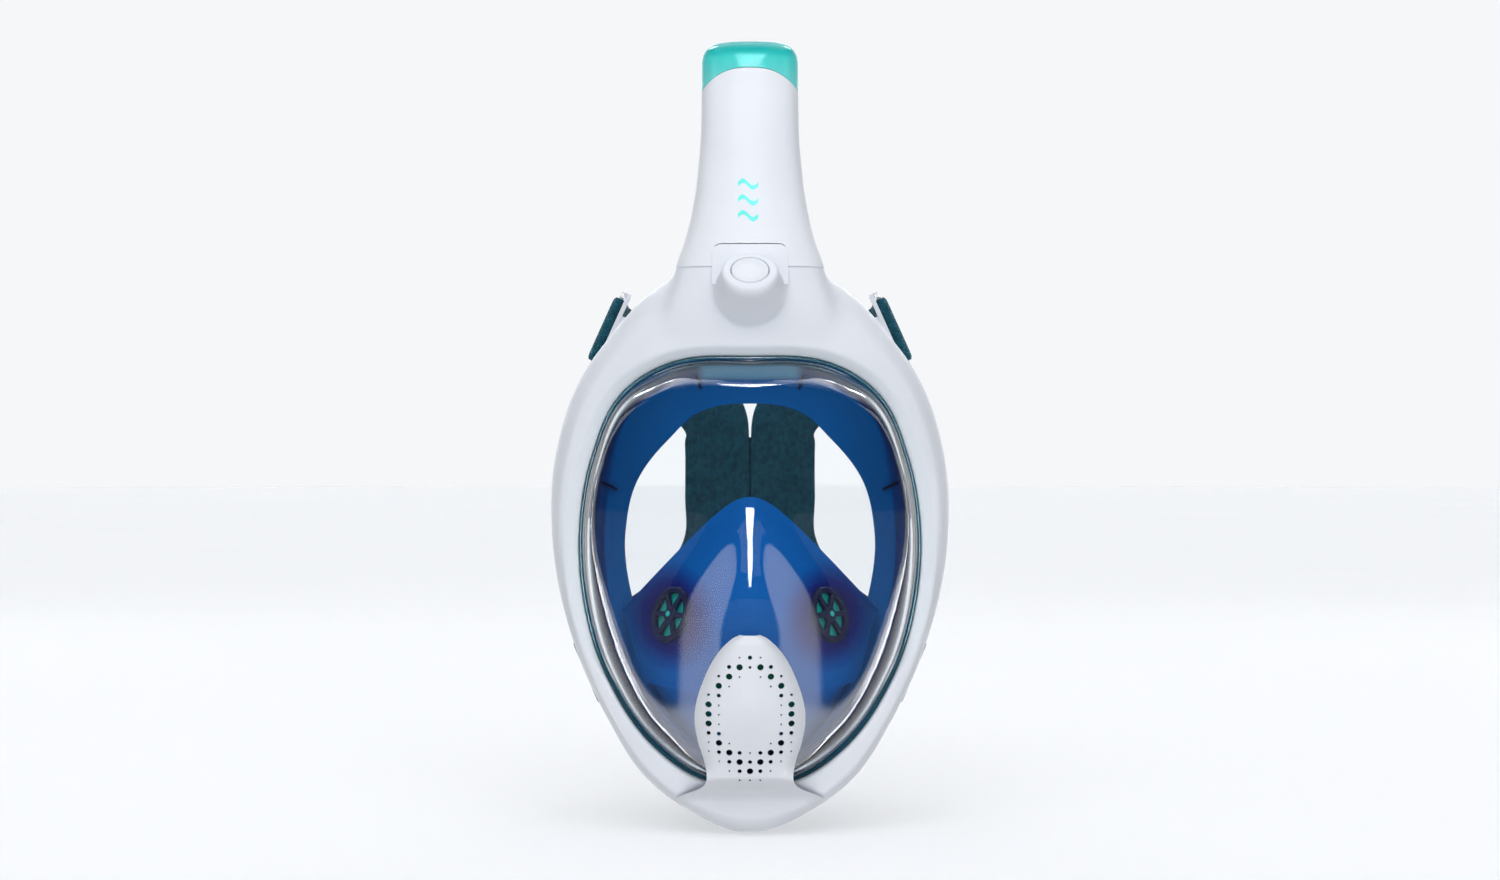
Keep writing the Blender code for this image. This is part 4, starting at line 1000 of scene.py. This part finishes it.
def build_chin_cover():
    v = np.linspace(0, 1, 190)
    z = COVER_WIDTHS[0][0] + (COVER_WIDTHS[-1][0] - COVER_WIDTHS[0][0]) * v
    u = np.sin(np.linspace(-1, 1, 110) * math.pi / 2)
    width = cover_width(z)
    x = width[:, None] * u[None, :]
    z_grid = np.repeat(z[:, None], len(u), axis=1)
    drop = 5.2 * np.abs(u[None, :]) ** 5 * (1 - smoothstep(-90, -101, z_grid))
    top_roll = 3.0 * smoothstep(-36, -31, z_grid) ** 2
    y = cover_y(x, z_grid) + drop + top_roll
    front = np.stack([x, y, z_grid], axis=-1)
    back = np.stack([x * 0.97, y + COVER_THICK, z_grid], axis=-1)
    cover = new_object("perforated_chin_cover", *plate_shape(front, back))
    tools = []
    for row, letters in enumerate(GRILLE):
        for column, letter in enumerate(letters):
            if letter == ".":
                continue
            radius = HOLE_SIZES[letter]
            hx, hz = (column - 4) * HOLE_PITCH_X, HOLE_TOP - row * HOLE_PITCH_Z
            hy = float(cover_y(np.array(hx), np.array(hz)))
            tools.append(turned_shape((hx, hy, hz), (0, -1, 0), [(radius, -9), (radius, 9)], 20))
    cut(cover, new_object("holes", *joined(*tools)))
    finish_piece(cover, WHITE, "mask", ["chin_cover"], 40)


# Snorkel -------------------------------------------------------------------------------------

def build_tube_shell(name, node, front):
    first = math.pi if front else 0.0
    turns = first + np.linspace(0.012, math.pi - 0.012, 80)
    levels = [(SPIGOT_END, 29.4, 11.4, 2.0, 2.0), (TUBE_BASE - 0.02, 29.4, 11.4, 2.0, 2.0),
              (TUBE_BASE - 0.02, 33.5, 17.7, 6.0, 8.2), (136.4, 33.9, 18.1, 6.3, 8.5),
              (136.4, 34.4, 18.45, 6.7, 8.8)]
    for z in np.linspace(TUBE_BASE, TUBE_TOP, 60):
        width, depth = along(TUBE_SECTIONS, z, 2)
        neck = 1 - smoothstep(TUBE_BASE, TUBE_BASE + 4, z)
        levels.append((z, width - 0.1 * neck, depth - 0.1 * neck, 2.0 + 5.1 * neck, 2.0 + 7.1 * neck))
    outer, inner = [], []
    for z, width, depth, thick_x, thick_y in levels:
        outer.append(oval(width, depth, z, turns))
        inner.append(oval(width - thick_x, depth - thick_y, max(z, TUBE_BASE) if width > 30 else z, turns))
    for share in (0.25, 0.5, 0.75, 1.0):
        z = TUBE_TOP + (cap_line(turns) - GAP - TUBE_TOP) * share
        outer.append(oval(TUBE_TOP_WIDTH, TUBE_TOP_DEPTH, z, turns))
        inner.append(oval(TUBE_TOP_WIDTH - TUBE_WALL, TUBE_TOP_DEPTH - TUBE_WALL, z, turns))
    shell = new_object(name, *plate_shape(np.array(outer), np.array(inner)))
    if front:
        cut(shell, new_object("notch", *notch_shape()))
    finish_piece(shell, WHITE, "snorkel", [node], 40)


def notch_shape():
    """Space for the frame's tongue, with rounded upper corners."""
    half, top, radius = 17.5, 147.0, 4.5
    corner = np.linspace(0, math.pi / 2, 9)
    right = [(half - radius + radius * math.cos(a), top - radius + radius * math.sin(a)) for a in corner]
    left = [(-x, z) for x, z in reversed(right)]
    section = [(half, 120.0)] + right + left + [(-half, 120.0)]
    return stack_shape(np.array([[(x, y, z) for x, z in section] for y in (-60.0, -28.0)]))


def build_print():
    """Generic mark in place of lettering: three stacked waves, printed on the tube's front."""
    shapes = []
    for index in range(3):
        x = np.linspace(-5.6, 3.8, 46)
        middle = 174.6 - index * 7.4
        wave = middle + 1.6 * np.sin((x + 5.6) / 9.4 * 2 * math.pi)
        rows = []
        for side in (-1.05, 1.05):
            z = wave + side
            rows.append(np.stack([x, tube_front(x, z) - 0.10, z], axis=-1))
        front = np.array(rows)
        shapes.append(plate_shape(front, front + np.array([0, 0.2, 0])))
    finish_piece(new_object("wave_mark_print", *joined(*shapes)), PRINT, "snorkel", [], 40)


def build_top_cap():
    count = 128
    turn = ring_angles(count)
    outer_rows, inner_rows = 41, 33
    line = cap_line(turn)
    outer_profile = [(TUBE_TOP_WIDTH, TUBE_TOP_DEPTH, line), (22.75, 15.45, 232.0), (22.6, 15.3, 235.0),
                     (22.0, 14.8, 237.6), (20.6, 13.6, 240.0), (18.2, 11.6, 241.9), (14.6, 9.0, 243.1),
                     (10.0, 6.0, 243.8), (4.0, 2.4, CAP_TOP)]
    inner_profile = [(3.6, 2.2, 242.2), (9.0, 5.4, 242.0), (13.4, 8.2, 241.4), (16.6, 10.4, 240.2),
                     (18.8, 12.2, 238.5), (20.2, 13.2, 236.4), (20.8, 13.6, 234.0), (20.9, 13.7, 231.5),
                     (20.9, 13.7, line)]

    def dense(profile, rows):
        loops = np.array([oval(width, depth, z, turn) for width, depth, z in profile])
        return curve_through(loops.reshape(len(profile), -1), rows).reshape(rows, count, 3)

    grid = np.concatenate([dense(outer_profile, outer_rows), dense(inner_profile, inner_rows)])
    cap = new_object("translucent_top_cap", *cup_shape(grid, outer_rows - 1))
    for step in range(3):
        cut(cap, new_object("vent", *box_shape(((step - 1) * 9.0, 14.0, 236.4), (6.4, 16.0, 2.4), 0.8)))
    finish_piece(cap, CAP, "snorkel", ["top_cap"], 40)


# Button --------------------------------------------------------------------------------------

def build_button():
    radius = BUTTON_RADIUS
    outside = [(radius - 1.2, -6.0), (radius - 0.1, -5.8), (radius, -5.0), (radius, -0.5),
               (radius - 0.2, 0.0), (radius - 0.7, 0.2), (radius - 1.3, 0.2), (radius - 1.7, 0.0),
               (radius - 2.4, -0.45), (radius - 4.0, -0.85), (2.4, -1.05), (0.8, -1.1)]
    inside = [(0.8, -2.4), (6.6, -2.4), (6.9, -2.8), (6.9, -5.7)]
    grid = turned_grid(BUTTON_FACE, BUTTON_AXIS, outside + inside, 80)
    button = new_object("dished_button", *cup_shape(grid, len(outside) - 1))
    finish_piece(button, WHITE, "push_button", ["release_button"], 50)


# Straps --------------------------------------------------------------------------------------

ANCHORS = {"upper": (Vector((69.5, 35.5, 110.0)), Vector((0.91, 0, 0.41))),
           "lower": (Vector((77.0, 37.0, -55.5)), Vector((0.92, 0, -0.39)))}
HEAD_ROUTE = [((66.0, 76.0, 106.5), (0.86, 0.33, 0.38)), ((52.0, 93.0, 98.0), (0.60, 0.76, 0.25)),
              ((34.0, 103.0, 85.0), (0.25, 0.95, 0.12)), ((18.9, 106.0, 69.0), (0.05, 1.0, 0.0)),
              ((16.8, 106.5, 54.0), (0.0, 1.0, 0.0)), ((16.7, 106.5, 28.0), (0.0, 1.0, 0.0)),
              ((17.0, 106.0, 5.0), (0.0, 1.0, 0.0)), ((26.0, 104.5, -14.0), (0.12, 0.99, -0.03)),
              ((45.0, 96.5, -32.0), (0.52, 0.84, -0.15)), ((63.5, 82.0, -44.0), (0.78, 0.56, -0.28)),
              ((76.5, 60.0, -53.0), (0.82, 0.50, -0.28))]
UPPER_LOOP = [(26, 0.4), (10, 0.9), (4.5, 2.3), (1.0, 2.3), (-0.7, 1.4), (-1.2, 0.0), (-0.7, -1.4),
              (1.0, -2.3), (5.0, -2.3), (14, -2.1), (27, -1.9)]
LOWER_LOOP = [(12, -2.1), (5.0, -2.3), (1.0, -2.3), (-0.7, -1.4), (-1.2, 0.0), (-0.7, 1.4), (1.0, 2.3),
              (4.5, 2.3), (12, 0.7)]


def band_route(side):
    route = []
    for level, loop in (("upper", UPPER_LOOP), (None, HEAD_ROUTE), ("lower", LOWER_LOOP)):
        for entry in loop:
            if level is None:
                route.append((mirrored(entry[0], side), mirrored(entry[1], side)))
                continue
            centre, outward = ANCHORS[level]
            point = mirrored(centre + outward * entry[1] + Vector((0, entry[0], 0)), side)
            route.append((point, mirrored(outward, side)))
    return route


def band_frames(side):
    """Centre, across and through vectors of one strap at its route's points."""
    route = band_route(side)
    rows = []
    for index, (point, normal) in enumerate(route):
        before, after = route[max(0, index - 1)][0], route[min(len(route) - 1, index + 1)][0]
        run = (after - before).normalized()
        if index < len(UPPER_LOOP):
            across = normal.cross(Vector((0, 1, 0))).normalized()
        elif index >= len(route) - len(LOWER_LOOP):
            across = normal.cross(Vector((0, -1, 0))).normalized()
        elif index >= len(route) - len(LOWER_LOOP) - 2:
            stretch = mirrored(HEAD_ROUTE[-1][0], side) - mirrored(HEAD_ROUTE[-2][0], side)
            across = mirrored(HEAD_ROUTE[-2][1], side).cross(stretch).normalized()
        else:
            across = normal.cross(run).normalized()
        rows.append((*point, *across, *run.cross(across).normalized()))
    return np.array(rows)


def build_band(name, side):
    """Elastic band with rounded edges and UVs in metres; gives back its length in metres."""
    rows = band_frames(side)
    dense = curve_through(rows, 10 * (len(rows) - 1) + 1)
    centre, across, through = dense[:, 0:3], dense[:, 3:6], dense[:, 6:9]
    across /= np.linalg.norm(across, axis=1, keepdims=True)
    through -= across * np.sum(across * through, axis=1, keepdims=True)
    through /= np.linalg.norm(through, axis=1, keepdims=True)
    wide = np.linspace(-1, 1, 25)
    thin = BAND_THICK / 2 * np.sqrt(np.maximum(0, 1 - np.abs(wide) ** 14))
    wide = BAND_WIDTH / 2 * wide
    section = list(zip(wide, thin)) + list(zip(wide[-2:0:-1], -thin[-2:0:-1]))
    grid = np.array([centre + across * wide + through * thin for wide, thin in section]).transpose(1, 0, 2)
    points, faces = stack_shape(grid)
    band = new_object(name, points, faces)
    length = np.concatenate([[0], np.cumsum(np.linalg.norm(np.diff(centre, axis=0), axis=1))])
    rings, sides = grid.shape[:2]
    uv = np.zeros((len(points), 2))
    uv[:rings * sides, 0] = np.tile([wide for wide, _ in section], rings)
    uv[:rings * sides, 1] = np.repeat(length, sides)
    layer = band.data.uv_layers.new(name="band")
    loop_vertices = np.empty(len(band.data.loops), int)
    band.data.loops.foreach_get("vertex_index", loop_vertices)
    layer.data.foreach_set("uv", (uv[loop_vertices] * MM).ravel())
    finish_piece(band, WEBBING, "mask", [name.replace("webbing", "band")], 40)
    return length[-1] * MM


def dress_node(node, material, bevel):
    """Give a carried-over CAD node its material and, unless bevel is 0, soft edges."""
    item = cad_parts[node]
    item.data.materials.clear()
    item.data.materials.append(material)
    if bevel:
        modifier = item.modifiers.new("soft_edges", "BEVEL")
        modifier.width = bevel * MM
        modifier.segments = 3
        modifier.limit_method = "ANGLE"
        modifier.angle_limit = math.radians(SOFT_EDGE_ANGLE)


# Studio --------------------------------------------------------------------------------------

def build_studio():
    """Pale floor that runs out to a backdrop of the same tone, and soft lights."""
    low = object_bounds()[0][2] / MM - 0.3
    turn = ring_angles(96)
    loops = [np.stack([radius * np.sin(turn), radius * np.cos(turn), np.full(96, low)], axis=-1)
             for radius in (40, 400, 2000, 9000)]
    faces = grid_faces(4, 96, False, True) + [tuple(range(96))]
    floor = new_object("pale_floor", np.concatenate(loops), faces)
    n = Nodes("floor_paper")
    n.feed("Base Color", n.ramp(n.noise(2.0, 2.0), [(0.3, (0.50, 0.505, 0.52)), (0.7, (0.52, 0.525, 0.54))]))
    n.set(Roughness=0.9, Specular_IOR_Level=0.1)
    n.set(Emission_Strength=0.45, Emission_Color=(0.96, 0.98, 1.0, 1.0))
    floor.data.materials.append(n.owner)
    floor.visible_glossy = floor.visible_diffuse = floor.visible_shadow = False
    build_surroundings()
    for name, place, target, size, power in (
            ("key_left", (-0.6, -1.3, 1.3), (0, 0, 0.05), (0.8, 0.8), 4.2),
            ("key_right", (0.7, -1.3, 1.2), (0, 0, 0.05), (0.8, 0.8), 3.0),
            ("top", (0, 0.1, 1.6), (0, 0, 0), (1.2, 1.0), 2.6),
            ("back_left", (-0.9, 1.2, 0.7), (0, 0, 0.05), (0.8, 1.0), 1.4),
            ("back_right", (0.9, 1.2, 0.7), (0, 0, 0.05), (0.8, 1.0), 1.4)):
        light = bpy.data.lights.new(name, "AREA")
        light.shape = "RECTANGLE"
        light.size, light.size_y = size
        light.energy = power
        lamp = bpy.data.objects.new(name, light)
        lamp.location = place
        lamp.rotation_euler = (Vector(target) - Vector(place)).to_track_quat("-Z", "Y").to_euler()
        lamp.visible_camera = lamp.visible_glossy = False
        bpy.context.scene.collection.objects.link(lamp)
    bpy.context.scene.view_settings.view_transform = "Standard"


def build_surroundings():
    """Even white to the camera and soft light from above and the front on matt surfaces. In reflections
    it is a dark room with soft boxes, a slanting strip and a pale floor. Angles are degrees."""
    world = bpy.data.worlds.new("studio")
    n = Nodes(world, "Background")
    way = n.places["Generated"]
    side, front = n.math("ABSOLUTE", n.axis("X", way)), n.math("MULTIPLY", n.axis("Y", way), -1.0)
    turn = n.math("MULTIPLY", n.math("ARCTAN2", side, front), 180 / math.pi)
    height = n.math("MULTIPLY", n.math("ARCSINE", n.axis("Z", way)), 180 / math.pi)

    def step(value, low, high):
        return n.span(value, min(low, high), max(low, high), float(low > high), float(low < high),
                      interpolation_type="SMOOTHSTEP")

    def patch(power, *edges):
        return n.chain("MULTIPLY", power, *(step(*edge) for edge in edges))

    slant = n.math("SUBTRACT", turn, n.math("MULTIPLY", height, 0.45))
    boxes = patch(7.0, (turn, 53, 58), (turn, 80, 74), (height, -24, -19), (height, 37, 29))
    low = patch(18.0, (turn, 63, 68), (turn, 82, 77), (height, -30, -24), (height, -8, -11))
    rails = patch(40.0, (turn, 75, 78), (turn, 86, 83), (height, -50, -40), (height, 12, 4))
    strip = patch(70.0, (slant, -3.2, -5.0), (turn, 15, 14), (height, 17, 19), (height, 46, 43))
    windows = patch(40.0, (turn, 140, 143), (turn, 155, 153), (height, 36, 39), (height, 53, 50))
    sides = patch(2.0, (turn, 86, 100))
    ceiling = patch(6.0, (height, 46, 56))
    ground = patch(11.0, (height, -19, -24), (height, -60, -50), (turn, 30, 38), (turn, 80, 72))
    reflected = n.chain("ADD", 0.03, boxes, low, rails, strip, windows, sides, ceiling, ground)

    sky = patch(0.36, (height, -10, 60))
    wall = n.math("MULTIPLY", step(turn, 62, 12), n.math("ADD", 0.92, patch(0.50, (height, 5, -40))))
    soft = n.math("ADD", 0.15, n.math("ADD", sky, wall))

    paths = n.add("ShaderNodeLightPath").outputs
    through = paths["Is Transmission Ray"]
    mirrored_once = n.math("MINIMUM", paths["Glossy Depth"], 1.0)
    scattered = n.math("MINIMUM", paths["Diffuse Depth"], 1.0)
    fresh = n.math("SUBTRACT", 1.0, n.math("MAXIMUM", mirrored_once, scattered))
    seen = n.math("MAXIMUM", paths["Is Camera Ray"], n.math("MULTIPLY", through, fresh))
    inside = n.math("MULTIPLY", through, mirrored_once)
    lit = n.math("SUBTRACT", 1.0, n.math("MAXIMUM", seen, inside))
    clear = n.math("ADD", 0.95, n.math("MULTIPLY", through, 0.06))
    even = n.chain("ADD", n.math("MULTIPLY", soft, lit), n.math("MULTIPLY", seen, clear),
                   n.math("MULTIPLY", inside, 0.2))
    mix = n.add("ShaderNodeMix", data_type="FLOAT")
    n.link(n.math("MULTIPLY", paths["Is Glossy Ray"], n.math("SUBTRACT", 1.0, through)), mix.inputs[0])
    n.link(even, mix.inputs[2])
    n.link(reflected, mix.inputs[3])
    n.set(Color=(0.965, 0.98, 1.0, 1.0))
    n.feed("Strength", mix.outputs[0])
    bpy.context.scene.world = world


def build_camera():
    """Straight-on view, level with the upper part of the window."""
    camera = bpy.data.cameras.new("camera")
    camera.sensor_width = SENSOR_WIDTH
    camera.lens = FOCAL_LENGTH
    item = bpy.data.objects.new("camera", camera)
    item.location = (0.0, -CAMERA_DISTANCE, CAMERA_HEIGHT)
    item.rotation_euler = (math.pi / 2, 0, 0)
    bpy.context.scene.collection.objects.link(item)
    bpy.context.scene.camera = item


def build():
    build_front_frame()
    build_rear_frame()
    build_lens()
    build_gasket()
    build_skirt()
    build_pocket()
    for name, side in (("left", -1), ("right", 1)):
        build_valve(f"intake_flap_{name}", f"intake_valve_{name}", *intake_place(side), INTAKE_RADIUS,
                    (NAVY, "seat_navy"), (TURQUOISE, "valve_turquoise"), -1)
        length = build_band(f"strap_webbing_{name}", side)
    build_valve("chin_flap", "chin_valve", CHIN_CENTRE, CHIN_AXIS, CHIN_RADIUS,
                (TURQUOISE, "valve_turquoise"), (NAVY_SOFT, "seat_navy"), 1)
    build_chin_flange()
    build_chin_cover()
    build_tube_shell("tube_front_shell", "snorkel_front_shell", True)
    build_tube_shell("tube_rear_shell", "snorkel_rear_shell", False)
    build_print()
    build_top_cap()
    build_button()
    for material, bevel, nodes in (
            (WHITE_BACK, 0, ("intake_duct", "float_cage", "intake_seat", "latch_hook")),
            (NAVY_SOFT, 0, ("snorkel_gasket", "float_seal")), (FOAM, 0.4, ("float",)),
            (STEEL, 0, ("button_spring",)), (WEBBING, 0.2, ("strap_seam_tape",)),
            (TURQUOISE, 0.15, ("exhaust_flap_left", "exhaust_flap_right")),
            (WHITE, 0.4, [f"strap_anchor_{level}_{side}" for level in ANCHORS for side in ("left", "right")]),
            (NAVY, 0.5, ("strap_slider_left", "strap_slider_right"))):
        for node in nodes:
            dress_node(node, material, bevel)


build()
build_studio()
build_camera()
